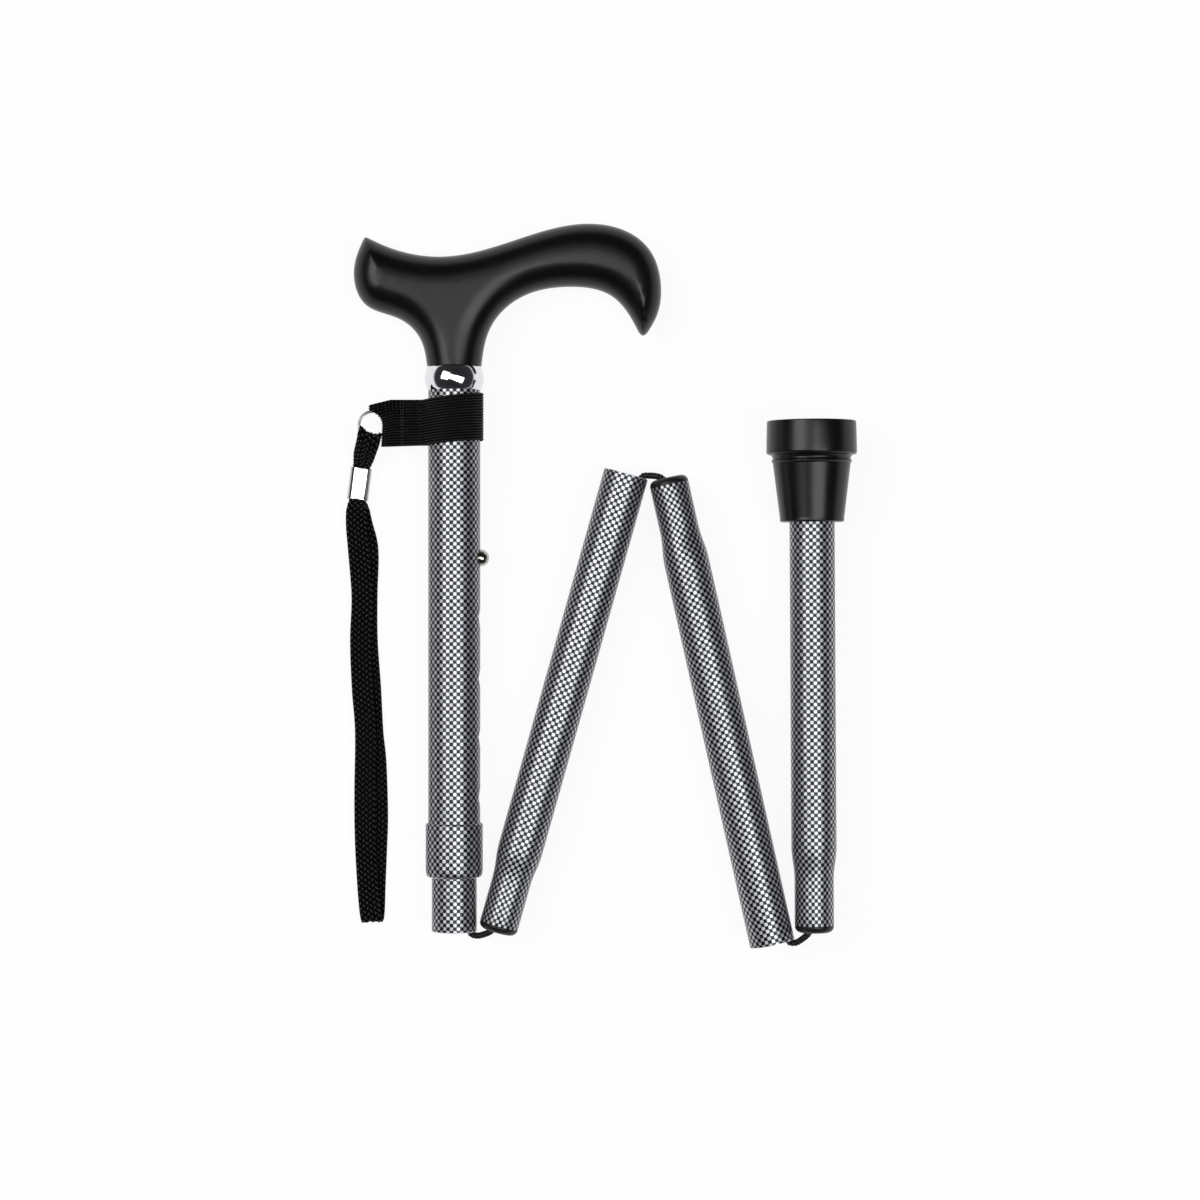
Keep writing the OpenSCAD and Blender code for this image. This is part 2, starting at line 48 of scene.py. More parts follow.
import bmesh
import bpy
import numpy as np
from bpy.props import FloatProperty, FloatVectorProperty, IntProperty, PointerProperty
from mathutils import Matrix, Vector
from mathutils.geometry import delaunay_2d_cdt
from mathutils.kdtree import KDTree

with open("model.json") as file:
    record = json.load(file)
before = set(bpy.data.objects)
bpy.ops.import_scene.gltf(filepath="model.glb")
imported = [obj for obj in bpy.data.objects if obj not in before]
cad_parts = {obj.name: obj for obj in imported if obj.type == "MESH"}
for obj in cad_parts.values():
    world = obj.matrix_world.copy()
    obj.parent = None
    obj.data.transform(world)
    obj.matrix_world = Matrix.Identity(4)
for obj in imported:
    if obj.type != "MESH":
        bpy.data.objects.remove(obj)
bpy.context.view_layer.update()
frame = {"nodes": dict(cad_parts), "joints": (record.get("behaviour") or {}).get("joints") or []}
MM = 0.001


# Sizes and colours

def size(name, text, default):
    """A length that a user can change, with its default in millimetres."""
    return FloatProperty(
        name=name, description=text, default=default * MM, min=0.0, precision=5,
        subtype="DISTANCE", unit="LENGTH")


def number(name, text, default):
    """A count that a user can change."""
    return IntProperty(name=name, description=text, default=default, min=2)


def colour(name, text, default):
    """A colour that a user can change."""
    return FloatVectorProperty(
        name=name, description=text, default=default, subtype="COLOR", size=3, min=0.0, max=1.0)


class CaneSizes(bpy.types.PropertyGroup):
    """Sizes of the finish."""

    checks_upper: number("Checks on upper tube", "Printed squares round the upper tube", 46)
    checks_tube: number("Checks on folding tubes", "Printed squares round a folding tube", 40)
    checks_collar: number("Checks on lock collar", "Printed squares round the lock collar", 50)
    handle_round: size("Handle rounding", "Radius of the rounding along the handle", 11.6)
    strap_w: size("Strap width", "Width of the flat braid", 9.2)
    strap_t: size("Strap thickness", "Thickness of the flat braid", 1.66)
    plait_row: size("Plait row", "Distance between two stitches of one plait", 2.4)
    plait_columns: number("Plait columns", "Plaits side by side in the flat braid", 6)
    band_t: size("Band thickness", "Thickness of one layer of the elastic band", 1.4)
    rib_step: size("Rib bead", "Distance between two beads of a rib", 0.95)
    rib_rows: number("Ribs", "Ribs across the elastic band", 17)
    cord_d: size("Cord diameter", "Diameter of the elastic cord", 3.0)


class CaneColours(bpy.types.PropertyGroup):
    """Colours of the finish."""

    lacquer: colour("Lacquer", "Satin black paint on the handle", (0.0016, 0.0016, 0.0018))
    chrome: colour("Chrome", "Plated metal", (0.78, 0.79, 0.81))
    print_silver: colour("Silver print", "Light squares of the tube print", (0.50, 0.51, 0.55))
    print_black: colour("Black print", "Dark squares of the tube print", (0.0015, 0.0015, 0.0022))
    aluminium: colour("Bare aluminium", "Cut ends and bores of the tubes", (0.72, 0.73, 0.75))
    wire: colour("Wire steel", "Split ring and screw", (0.20, 0.19, 0.18))
    crimp: colour("Crimp metal", "Bright sleeve on the braid", (0.56, 0.57, 0.57))
    ball: colour("Ball steel", "Snap button", (0.50, 0.48, 0.45))
    spring: colour("Spring steel", "Leaf spring and washer", (0.52, 0.53, 0.55))
    webbing: colour("Webbing", "Elastic band", (0.0012, 0.0012, 0.0014))
    braid: colour("Braid", "Flat braid of the wrist loop", (0.0012, 0.0012, 0.0014))
    cord: colour("Cord", "Sleeve of the elastic cord", (0.0030, 0.0030, 0.0030))
    plug: colour("Plug plastic", "Plugs in the narrowed ends", (0.0025, 0.0025, 0.0025))
    rubber: colour("Rubber", "Ferrule", (0.0018, 0.0018, 0.0020))
    nylon: colour("Inner plastic", "Bushes, anchors and peg", (0.035, 0.035, 0.037))
    floor: colour("Floor", "Table top", (0.93, 0.93, 0.93))


def sizes():
    return bpy.context.scene.cane_sizes


def colours():
    return bpy.context.scene.cane_colours


def length(name):
    """A size in millimetres."""
    return getattr(sizes(), name) / MM


# Finishes

class Nodes:
    """A node tree that is put together node by node."""

    def __init__(self, tree):
        self.tree = tree
        tree.nodes.clear()

    def node(self, kind, inputs=None, out=0, **settings):
        """Adds a node, sets or links its inputs, and gives the output that is asked for."""
        made = self.tree.nodes.new(kind)
        for key, value in settings.items():
            setattr(made, key, value)
        for key, value in (inputs or {}).items():
            if isinstance(value, bpy.types.NodeSocket):
                self.tree.links.new(value, made.inputs[key])
            else:
                made.inputs[key].default_value = value
        return made.outputs[out]

    def end(self, kind, socket, value):
        """Adds the node that the tree ends in."""
        self.tree.links.new(value, self.tree.nodes.new(kind).inputs[socket])

    def span(self, value, low, high, start=0.0, end=1.0):
        """Spreads a value from start to end over low to high."""
        return self.node("ShaderNodeMapRange", {
            "Value": value, "From Min": start, "From Max": end, "To Min": low, "To Max": high})

    def math(self, operation, *values):
        return self.node("ShaderNodeMath", dict(enumerate(values)), operation=operation)

    def rays(self):
        """Three values, which are 1 for rays from the camera, off metal and through glass."""
        path = self.node("ShaderNodeLightPath").node.outputs
        return path["Is Camera Ray"], path["Is Glossy Ray"], path["Is Transmission Ray"]


class Finish(Nodes):
    """A material whose shader is put together from nodes."""

    def __init__(self, name):
        self.material = bpy.data.materials.new(name)
        self.material.use_nodes = True
        super().__init__(self.material.node_tree)

    def noise(self, scale, detail=3.0, stretch=(1.0, 1.0, 1.0)):
        """Noise in object coordinates, which are metres, stretched."""
        coords = self.node("ShaderNodeTexCoord", out="Object")
        place = self.node("ShaderNodeMapping", {"Vector": coords, "Scale": stretch})
        return self.node("ShaderNodeTexNoise", {"Vector": place, "Scale": scale, "Detail": detail})

    def mix(self, factor, a, b):
        """Mixes two colours."""
        return self.node(
            "ShaderNodeMix", {0: factor, 6: as_rgba(a), 7: as_rgba(b)}, out=2, data_type="RGBA")

    def bump(self, height, strength, distance):
        return self.node("ShaderNodeBump", {
            "Height": height, "Strength": strength, "Distance": distance})

    def shade(self, inputs):
        self.end("ShaderNodeOutputMaterial", "Surface", self.node("ShaderNodeBsdfPrincipled", inputs))
        return self.material


def as_rgba(value):
    """A colour with full alpha. A socket stays as it is."""
    if isinstance(value, bpy.types.NodeSocket):
        return value
    return (value[0], value[1], value[2], 1.0)


def lighter(value, share):
    """The colour with a share added to each channel."""
    return tuple(min(1.0, channel + share) for channel in value)


def lacquer_finish(name):
    """Satin black paint with a fine grain."""
    finish = Finish(name)
    base = colours().lacquer
    grain = finish.noise(900.0, 4.0, (1.0, 0.06, 1.0))
    cloud = finish.noise(45.0, 2.0)
    tone = finish.mix(finish.span(grain, 0.0, 1.0, 0.3, 0.75), base, lighter(base, 0.002))
    rough = finish.math("ADD", finish.span(grain, 0.27, 0.33), finish.span(cloud, -0.02, 0.03))
    return finish.shade({
        "Base Color": tone, "Roughness": rough, "Specular IOR Level": 0.30,
        "Normal": finish.bump(grain, 0.08, 0.0001)})


def chrome_finish(name):
    """Plated metal with a faint haze and fine scratches."""
    finish = Finish(name)
    base = colours().chrome
    haze = finish.noise(260.0, 5.0)
    scratch = finish.noise(1400.0, 2.0, (0.08, 1.0, 0.08))
    tone = finish.mix(haze, lighter(base, -0.03), base)
    return finish.shade({
        "Base Color": tone, "Metallic": 1.0, "Roughness": finish.span(scratch, 0.05, 0.11),
        "Normal": finish.bump(haze, 0.03, 0.0001)})


def print_finish(name):
    """Silver and black squares, one to each unit of the UV map, under a clear coat."""
    finish = Finish(name)
    uv = finish.node("ShaderNodeUVMap")
    raised = finish.node("ShaderNodeVectorMath", {0: uv, 1: (0.0, 0.0, 0.5)}, operation="ADD")
    checks = finish.node("ShaderNodeTexChecker", {"Vector": raised, "Scale": 1.0}, out="Fac")
    square = finish.node("ShaderNodeVectorMath", {0: raised}, operation="FLOOR")
    chance = finish.node("ShaderNodeTexWhiteNoise", {"Vector": square}, out="Value")
    fraction = finish.node("ShaderNodeVectorMath", {0: raised}, operation="FRACTION")
    middle = finish.node("ShaderNodeVectorMath", {0: fraction, 1: (0.5, 0.5, 0.5)}, out="Value",
                         operation="DISTANCE")
    weave = finish.noise(2600.0, 2.0)
    base = colours().print_silver
    silver = finish.mix(chance, lighter(base, -0.05), lighter(base, 0.05))
    black = finish.mix(chance, colours().print_black, lighter(colours().print_black, 0.003))
    silver = finish.mix(finish.span(middle, 0.0, 0.9, 0.40, 0.70), silver, black)
    tone = finish.mix(checks, black, silver)
    metal = finish.math("MULTIPLY", checks, 0.75)
    rough = finish.math("ADD", finish.span(checks, 0.34, 0.42), finish.span(weave, -0.03, 0.03))
    height = finish.math("ADD", checks, finish.span(weave, 0.0, 0.4))
    return finish.shade({
        "Base Color": tone, "Metallic": metal, "Roughness": rough, "Specular IOR Level": 0.08,
        "Coat Weight": 0.24, "Coat Roughness": 0.07, "Normal": finish.bump(height, 0.08, 0.00005)})


def metal_finish(paint, low, high, stretch=(1.0, 1.0, 1.0)):
    """A maker for plain metal of a named colour, with fine lines along one direction."""
    def make(name):
        finish = Finish(name)
        base = getattr(colours(), paint)
        lines = finish.noise(1700.0, 3.0, stretch)
        stain = finish.noise(120.0, 3.0)
        tone = finish.mix(stain, lighter(base, -0.07), base)
        return finish.shade({
            "Base Color": tone, "Metallic": 1.0, "Roughness": finish.span(lines, low, high),
            "Normal": finish.bump(lines, 0.08, 0.00005)})
    return make


def yarn_finish(paint):
    """A maker for yarn of a named colour, with fibres and small changes of shade."""
    def make(name):
        finish = Finish(name)
        base = getattr(colours(), paint)
        fibres = finish.noise(3800.0, 3.0)
        shades = finish.noise(420.0, 2.0)
        tone = finish.mix(finish.span(shades, 0.0, 1.0, 0.32, 0.68), base, lighter(base, 0.002))
        return finish.shade({
            "Base Color": tone, "Roughness": finish.span(fibres, 0.26, 0.40), "Specular IOR Level": 0.40,
            "Normal": finish.bump(fibres, 0.25, 0.00008)})
    return make


def shadow_finish(name):
    """Painted shade between the yarns of a weave: a matt black core under them."""
    finish = Finish(name)
    depth = finish.noise(900.0, 2.0)
    return finish.shade({
        "Base Color": finish.mix(depth, (0.0006, 0.0006, 0.0007), (0.0022, 0.0022, 0.0024)),
        "Roughness": 0.9, "Specular IOR Level": 0.05})


def plastic_finish(paint, low, high):
    """A maker for moulded plastic of a named colour, with a fine grain."""
    def make(name):
        finish = Finish(name)
        base = getattr(colours(), paint)
        grain = finish.noise(2400.0, 2.0)
        flow = finish.noise(150.0, 3.0)
        tone = finish.mix(flow, base, lighter(base, 0.003))
        return finish.shade({
            "Base Color": tone, "Roughness": finish.span(flow, low, high), "Specular IOR Level": 0.35,
            "Normal": finish.bump(grain, 0.12, 0.00008)})
    return make


def rubber_finish(name):
    """Dull rubber with pores and a faint bloom."""
    finish = Finish(name)
    base = colours().rubber
    pores = finish.noise(1500.0, 4.0)
    bloom = finish.noise(90.0, 5.0)
    tone = finish.mix(finish.span(bloom, 0.0, 1.0, 0.35, 0.75), base, lighter(base, 0.002))
    rough = finish.math("ADD", finish.span(bloom, 0.25, 0.33), finish.span(pores, -0.03, 0.03))
    return finish.shade({
        "Base Color": tone, "Roughness": rough, "Specular IOR Level": 0.32,
        "Normal": finish.bump(pores, 0.10, 0.0001)})


def floor_finish(name):
    """White table top that keeps a soft shadow, and is white to the camera and in metal and glass."""
    finish = Finish(name)
    base = colours().floor
    fleck = finish.noise(30.0, 2.0)
    tone = finish.mix(fleck, lighter(base, -0.01), base)
    matt = finish.node("ShaderNodeBsdfDiffuse", {"Color": tone})
    white = finish.node("ShaderNodeEmission", {"Color": (1.0, 1.0, 1.0, 1.0), "Strength": 1.0})
    camera, glossy, through = finish.rays()
    seen = finish.math("MAXIMUM", finish.math("MAXIMUM", camera, glossy), through)
    shown = finish.math("MULTIPLY", seen, 0.92)
    finish.end("ShaderNodeOutputMaterial", "Surface",
               finish.node("ShaderNodeMixShader", {0: shown, 1: matt, 2: white}))
    return finish.material


FINISHES = {
    "satin_lacquer": lacquer_finish,
    "chrome_plate": chrome_finish,
    "check_print": print_finish,
    "cut_aluminium": metal_finish("aluminium", 0.22, 0.38, (1.0, 0.1, 1.0)),
    "wire_steel": metal_finish("wire", 0.14, 0.24),
    "bright_crimp": metal_finish("crimp", 0.10, 0.18, (1.0, 0.05, 1.0)),
    "ball_steel": metal_finish("ball", 0.06, 0.12),
    "spring_steel": metal_finish("spring", 0.25, 0.40, (1.0, 0.1, 1.0)),
    "webbing_yarn": yarn_finish("webbing"),
    "braid_yarn": yarn_finish("braid"),
    "cord_yarn": yarn_finish("cord"),
    "weave_shadow": shadow_finish,
    "moulded_plug": plastic_finish("plug", 0.34, 0.46),
    "moulded_nylon": plastic_finish("nylon", 0.38, 0.52),
    "moulded_rubber": rubber_finish,
    "table_white": floor_finish,
}


def finish_of(name):
    """A finish by name, made at its first use."""
    return bpy.data.materials.get(name) or FINISHES[name](name)


# Places on the frame

def joint_axis(name):
    found = next(joint for joint in frame["joints"] if joint["name"] == name)
    return Vector(found["axis"]).normalized()


UP = joint_axis("middle_fold")


def axis_ends(node, way):
    """Middle of the two ends of a turned CAD node that lies along a direction."""
    across = way.cross(UP)
    points = [vertex.co for vertex in frame["nodes"][node].data.vertices]
    low, high = [], []
    for line in (across, way, UP):
        reach = [point.dot(line) for point in points]
        low.append(min(reach))
        high.append(max(reach))
    side = across * ((low[0] + high[0]) / 2) + UP * ((low[2] + high[2]) / 2)
    return side + way * low[1], side + way * high[1]


UPPER_R = 11.0
SEATS = {"second": "upper_seat", "third": "middle_seat", "lower": "lower_seat"}


def section_way(name):
    """Direction from a folding section's plug to its other end."""
    return -joint_axis(SEATS[name])


def section_tip(name):
    """Tip of a folding section's plug."""
    return axis_ends(name + "_plug", section_way(name))[0]


def section_place(name):
    """Frame of a folding section: plug tip at the origin, tube along Y, table below."""
    way = section_way(name)
    turn = Matrix((way.cross(UP), way, UP)).transposed().to_4x4()
    return Matrix.Translation(section_tip(name)) @ turn


def handle_place():
    """Frame of the handle section: foot of the neck at the origin, tube along -Y."""
    low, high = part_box("upper_tube")
    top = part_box("handle_collar")[1].y
    return Matrix.Translation(((low.x + high.x) / 2, top, (low.z + high.z) / 2))


def table_point(point):
    """A strap point, given in millimetres from the neck's foot with its height above the table."""
    foot = handle_place().translation
    return Vector((foot.x + point[0] * MM, foot.y + point[1] * MM, point[2] * MM))


# Mesh makers

def add_object(name, mesh):
    made = bpy.data.objects.new(name, mesh)
    bpy.context.scene.collection.objects.link(made)
    return made


def mesh_object(name, bm, finishes, sharp=35.0):
    """Closes seams, turns faces outwards and gives the object its named finishes."""
    bmesh.ops.remove_doubles(bm, verts=bm.verts, dist=1e-7)
    bmesh.ops.recalc_face_normals(bm, faces=bm.faces)
    mesh = bpy.data.meshes.new(name)
    bm.to_mesh(mesh)
    bm.free()
    mesh.polygons.foreach_set("use_smooth", [True] * len(mesh.polygons))
    mesh.set_sharp_from_angle(angle=math.radians(sharp))
    for finish in finishes:
        mesh.materials.append(finish_of(finish))
    return add_object(name, mesh)


def loft(bm, rings, closed=False):
    """Faces between rings of points. A closed loft joins its last ring to its first."""
    made = [[bm.verts.new(point) for point in ring] for ring in rings]
    for ring, after in zip(made, made[1:] + made[:1] if closed else made[1:]):
        for k, vertex in enumerate(ring):
            m = (k + 1) % len(ring)
            bm.faces.new((vertex, ring[m], after[m], after[k]))
    return made


def clamped(value):
    """The value kept between 0 and 1."""
    return min(1.0, max(0.0, value))


def powered(value, power):
    """A power that keeps the sign."""
    return math.copysign(abs(value) ** power, value)


def smooth_line(points, steps):
    """Smooth line through the points, with so many steps to a span."""
    line = []
    last = len(points) - 1
    for i in range(last):
        a, b = points[max(i - 1, 0)], points[i]
        c, d = points[i + 1], points[min(i + 2, last)]
        for k in range(steps):
            t = k / steps
            line.append(b + (c - a) * (t / 2) + (2 * a - 5 * b + 4 * c - d) * (t * t / 2)
                        + (3 * b - a - 3 * c + d) * (t * t * t / 2))
    return line + [points[last].copy()]


def even_line(line, step):
    """The same line with its points about a step apart."""
    run = [0.0]
    for a, b in zip(line, line[1:]):
        run.append(run[-1] + (b - a).length)
    count = max(2, round(run[-1] / step))
    even, i = [], 0
    for k in range(count + 1):
        goal = run[-1] * k / count
        while i < len(line) - 2 and run[i + 1] < goal:
            i += 1
        share = (goal - run[i]) / max(run[i + 1] - run[i], 1e-12)
        even.append(line[i].lerp(line[i + 1], clamped(share)))
    return even


def line_length(line):
    return sum((b - a).length for a, b in zip(line, line[1:]))


def rounded(corners, steps=5):
    """Profile of (radius, distance, finish) from corners of (radius, distance, rounding, finish or none)."""
    profile = []
    count = len(corners)
    for i, corner in enumerate(corners):
        r, y, rounding, finish = (*corner, 0)[:4]
        here = Vector((r, y))
        if rounding <= 0.0:
            profile.append((r, y, finish))
            continue
        back = Vector(corners[i - 1][:2]) - here
        ahead = Vector(corners[(i + 1) % count][:2]) - here
        start = here + back.normalized() * min(rounding, back.length * 0.49)
        end = here + ahead.normalized() * min(rounding, ahead.length * 0.49)
        for k in range(steps + 1):
            t = k / steps
            point = start * ((1 - t) ** 2) + here * (2 * t * (1 - t)) + end * (t * t)
            profile.append((point.x, point.y, finish))
    return profile


def turned_mesh(place, profile, segments, checks, check_r):
    """Turns a closed profile of (radius, distance, finish or none) about Y, with a UV map in squares."""
    bm = bmesh.new()
    squares = bm.loops.layers.uv.new("squares")
    rings = []
    for r, y in (point[:2] for point in profile):
        ring = []
        for k in range(segments):
            a = 2 * math.pi * k / segments
            ring.append(bm.verts.new(place @ Vector((r * math.sin(a), y, -r * math.cos(a)))))
        rings.append(ring)
    square = 2 * math.pi * check_r / checks
    run = 0.0
    count = len(profile)
    for i in range(count):
        j = (i + 1) % count
        step = math.dist(profile[i][:2], profile[j][:2])
        for k in range(segments):
            m = (k + 1) % segments
            face = bm.faces.new((rings[i][k], rings[i][m], rings[j][m], rings[j][k]))
            face.material_index = (*profile[i], 0)[2]
            spots = ((k, run), (k + 1, run), (k + 1, run + step), (k, run + step))
            for loop, (turn, along) in zip(face.loops, spots):
                loop[squares].uv = (turn * checks / segments, along / square)
        run += step
    return bm


def millimetres(place):
    """The frame with its unit set to millimetres."""
    return place @ Matrix.Scale(MM, 4)


def turned(name, place, profile, finishes, segments=96, checks=40, check_r=9.5, sharp=35.0):
    """Object of a turned profile in millimetres."""
    return mesh_object(
        name, turned_mesh(millimetres(place), profile, segments, checks, check_r), finishes, sharp)


def long_run(r, start, end, step):
    """Corners along a straight side, so that it has rings at even steps."""
    count = max(1, round(abs(end - start) / step))
    return [(r, start + (end - start) * k / count, 0.0) for k in range(1, count)]


def settled(piece):
    """Puts the result of a piece's modifiers in place of its mesh."""
    graph = bpy.context.evaluated_depsgraph_get()
    made = bpy.data.meshes.new_from_object(piece.evaluated_get(graph))
    piece.modifiers.clear()
    old = piece.data
    piece.data = made
    bpy.data.meshes.remove(old)
    return made


def bored(piece, cutters):
    """Cuts the cutters out of a piece and removes them."""
    for cutter in cutters:
        cut = piece.modifiers.new("bore", "BOOLEAN")
        cut.object = cutter
        cut.operation = "DIFFERENCE"
        cut.solver = "EXACT"
    mesh = settled(piece)
    for cutter in cutters:
        bpy.data.objects.remove(cutter)
    mesh.set_sharp_from_angle(angle=math.radians(35.0))
    return piece


def cross_place(place, along):
    """Frame at a distance along a tube, whose Y points out of the tube's side."""
    return place @ Matrix.Translation((0.0, along * MM, 0.0)) @ Matrix.Rotation(-math.pi / 2, 4, "Z")


def dressed(piece, body, slot, *nodes):
    """Lets a piece ride on its body in place of its CAD nodes."""
    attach(piece, body)
    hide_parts(*nodes)
    return piece


# Yarns on a weave

YARN_SIZES = ("Yarn length", "Yarn width", "Yarn height")


class Weave:
    """Points and faces of a core, with the direction and the outer side of the yarn on each face."""

    def __init__(self):
        self.points, self.faces, self.ways, self.outs, self.marks = [], [], [], [], []

    def face(self, corners, way=(0.0, 1.0, 0.0), out=(0.0, 0.0, 1.0), marked=False):
        """Adds a face, which gets a yarn if it is marked."""
        self.faces.append(tuple(corners))
        self.ways.append(way)
        self.outs.append(out)
        self.marks.append(marked)


def yarn_tree():
    """Nodes that lay a yarn on each marked face of a core, along the face's own direction."""
    tree = bpy.data.node_groups.get("yarns_on_weave")
    if tree:
        return tree
    tree = bpy.data.node_groups.new("yarns_on_weave", "GeometryNodeTree")
    sockets = [("Core", "INPUT", "Geometry")] + [(name, "INPUT", "Float") for name in YARN_SIZES]
    sockets += [("Yarn finish", "INPUT", "Material"), ("Woven", "OUTPUT", "Geometry")]
    for name, side, kind in sockets:
        tree.interface.new_socket(name, in_out=side, socket_type="NodeSocket" + kind)
    nodes = Nodes(tree)
    node = nodes.node
    given = tree.nodes.new("NodeGroupInput").outputs

    def stored(name, kind):
        return node("GeometryNodeInputNamedAttribute", {"Name": name}, data_type=kind)

    points = node("GeometryNodeMeshToPoints", {
        "Mesh": given["Core"], "Selection": stored("has_yarn", "BOOLEAN")}, mode="FACES")
    along = node("FunctionNodeAlignRotationToVector", {
        "Vector": stored("yarn_way", "FLOAT_VECTOR")}, axis="X")
    upright = node("FunctionNodeAlignRotationToVector", {
        "Rotation": along, "Vector": stored("yarn_out", "FLOAT_VECTOR")}, axis="Z", pivot_axis="X")
    shape = node("GeometryNodeMeshUVSphere", {"Segments": 6, "Rings": 4, "Radius": 0.5})
    spread = node("ShaderNodeCombineXYZ", {i: given[name] for i, name in enumerate(YARN_SIZES)})
    yarns = node("GeometryNodeInstanceOnPoints", {
        "Points": points, "Instance": shape, "Rotation": upright, "Scale": spread})
    core = node("GeometryNodeStoreNamedAttribute", {
        "Geometry": given["Core"], "Name": "is_core", "Value": True}, data_type="BOOLEAN", domain="FACE")
    joined = node("GeometryNodeJoinGeometry", {"Geometry": core})
    tree.links.new(yarns, joined.node.inputs["Geometry"])
    smooth = node("GeometryNodeSetShadeSmooth", {"Geometry": joined})
    real = node("GeometryNodeRealizeInstances", {"Geometry": smooth})
    in_yarn = node("FunctionNodeBooleanMath", {0: stored("is_core", "BOOLEAN")}, operation="NOT")
    dyed = node("GeometryNodeSetMaterial", {
        "Geometry": real, "Selection": in_yarn, "Material": given["Yarn finish"]})
    nodes.end("NodeGroupOutput", "Woven", dyed)
    return tree


def woven(name, weave, yarn, finish):
    """A core with a yarn on each marked face. Yarn is its length, width and height in millimetres."""
    mesh = bpy.data.meshes.new(name)
    mesh.from_pydata(weave.points, [], weave.faces)
    for key, values in (("yarn_way", weave.ways), ("yarn_out", weave.outs)):
        mesh.attributes.new(key, "FLOAT_VECTOR", "FACE").data.foreach_set(
            "vector", [part for value in values for part in value])
    mesh.attributes.new("has_yarn", "BOOLEAN", "FACE").data.foreach_set("value", weave.marks)
    # The core is a matt black sheet under the yarns: painted shade in the gaps between them.
    mesh.materials.append(finish_of("weave_shadow"))
    core = add_object(name, mesh)
    modifier = core.modifiers.new("yarns", "NODES")
    modifier.node_group = yarn_tree()
    given = {key: part * MM for key, part in zip(YARN_SIZES, yarn)}
    given["Yarn finish"] = finish_of(finish)
    for item in modifier.node_group.interface.items_tree:
        if item.in_out == "INPUT" and item.name in given:
            modifier[item.identifier] = given[item.name]
    made = settled(core)
    for key in ("yarn_way", "yarn_out", "has_yarn", "is_core"):
        if made.attributes.get(key):
            made.attributes.remove(made.attributes[key])
    return core


def rail(line, across):
    """For each point of a line: its direction, its wide side and the side between these."""
    frames = []
    last = len(line) - 1
    for i in range(last + 1):
        way = (line[min(i + 1, last)] - line[max(i - 1, 0)]).normalized()
        wide = across(i / last)
        wide = (wide - way * wide.dot(way)).normalized()
        frames.append((way, wide, way.cross(wide)))
    return frames


# Wrist strap

BIGHT = ((-40.6, -48, 3.9), (-39.9, -42.2, 4), (-38.4, -37.2, 9.2), (-36.9, -33, 13.2), (-36.4, -30.6, 14.1),
         (-35.9, -29.2, 13.5), (-35.7, -28.6, 12.1), (-35.9, -29.2, 10.7), (-36.4, -30.6, 10.1),
         (-36.9, -33, 8.6), (-38.4, -37.2, 5.2), (-39.9, -42.2, 1.9), (-40.6, -48, 1.9))
LOOP = ((-41, -51, 1.9), (-41.7, -56.5, 1.9), (-39.9, -66, 1.1), (-37.3, -77.6, 1), (-37.7, -97, 1),
        (-37.6, -116, 1), (-36.2, -136, 1), (-35.2, -155, 1), (-33.9, -168, 1), (-33.2, -190, 1),
        (-33.6, -204, 1), (-34.2, -219, 1), (-34.6, -231.5, 1.3), (-35.3, -235.4, 3), (-36.2, -231, 4.6),
        (-37.3, -219, 3.8), (-38.3, -200, 3.4), (-38.5, -181, 3.4), (-38.2, -155, 3.4), (-39.6, -136, 3.4),
        (-40.3, -116, 3.4), (-39.7, -97, 3.4), (-41.2, -77.6, 3.4), (-42.1, -66, 3.5), (-41.7, -56.5, 3.9),
        (-41, -51, 3.9))
RING = (-34.4, -25.0)
RING_R = 5.9
RING_WIRE = (0.56, 0.29)
CRIMP = ((-39.9, -42.5, 2.9), (-41.6, -56.2, 2.9))
CRIMP_HALF = (4.5, 2.7)
CRIMP_SIDES = 64
CRIMP_SEAM = (47, 48)
CRIMP_SEAM_IN = 0.28
CRIMP_ROWS = ((0.0, -0.12), (0.012, 0.0), (0.03, 0.06), (0.06, 0.03), (0.1, 0.0), (0.5, -0.02), (0.9, 0.0),
              (0.94, 0.03), (0.97, 0.06), (0.988, 0.0), (1.0, -0.12), (1.0, -0.5), (0.5, -0.55), (0.0, -0.5))
BRAID_YARN = (2.5, 1.02, 0.95)


def strap_width(line):
    """Width of the braid at each point: gathered at the ring and squeezed in the crimp."""
    wide, gathered, squeezed = sizes().strap_w * 1.02, 10.4 * MM, 7.0 * MM
    ring = table_point(BIGHT[6])
    top, foot = (table_point(end) for end in CRIMP)
    widths = []
    for point in line:
        spread = clamped(((point - ring).length - 2.5 * MM) / (9 * MM))
        width = gathered * (1 - spread) + wide * spread
        past = max(point.y - top.y, foot.y - point.y)
        free = clamped((past + 0.3 * MM) / (5 * MM))
        widths.append(min(width, squeezed + (width - squeezed) * free))
    return widths


def ring_wrap(line):
    """How much the braid's edges follow the ring's wire at each point: all at the ring, none at the crimp."""
    ring = table_point(BIGHT[6])
    return [max(0.0, 1 - (point - ring).length / (11 * MM)) / (2 * RING_R * MM) for point in line]


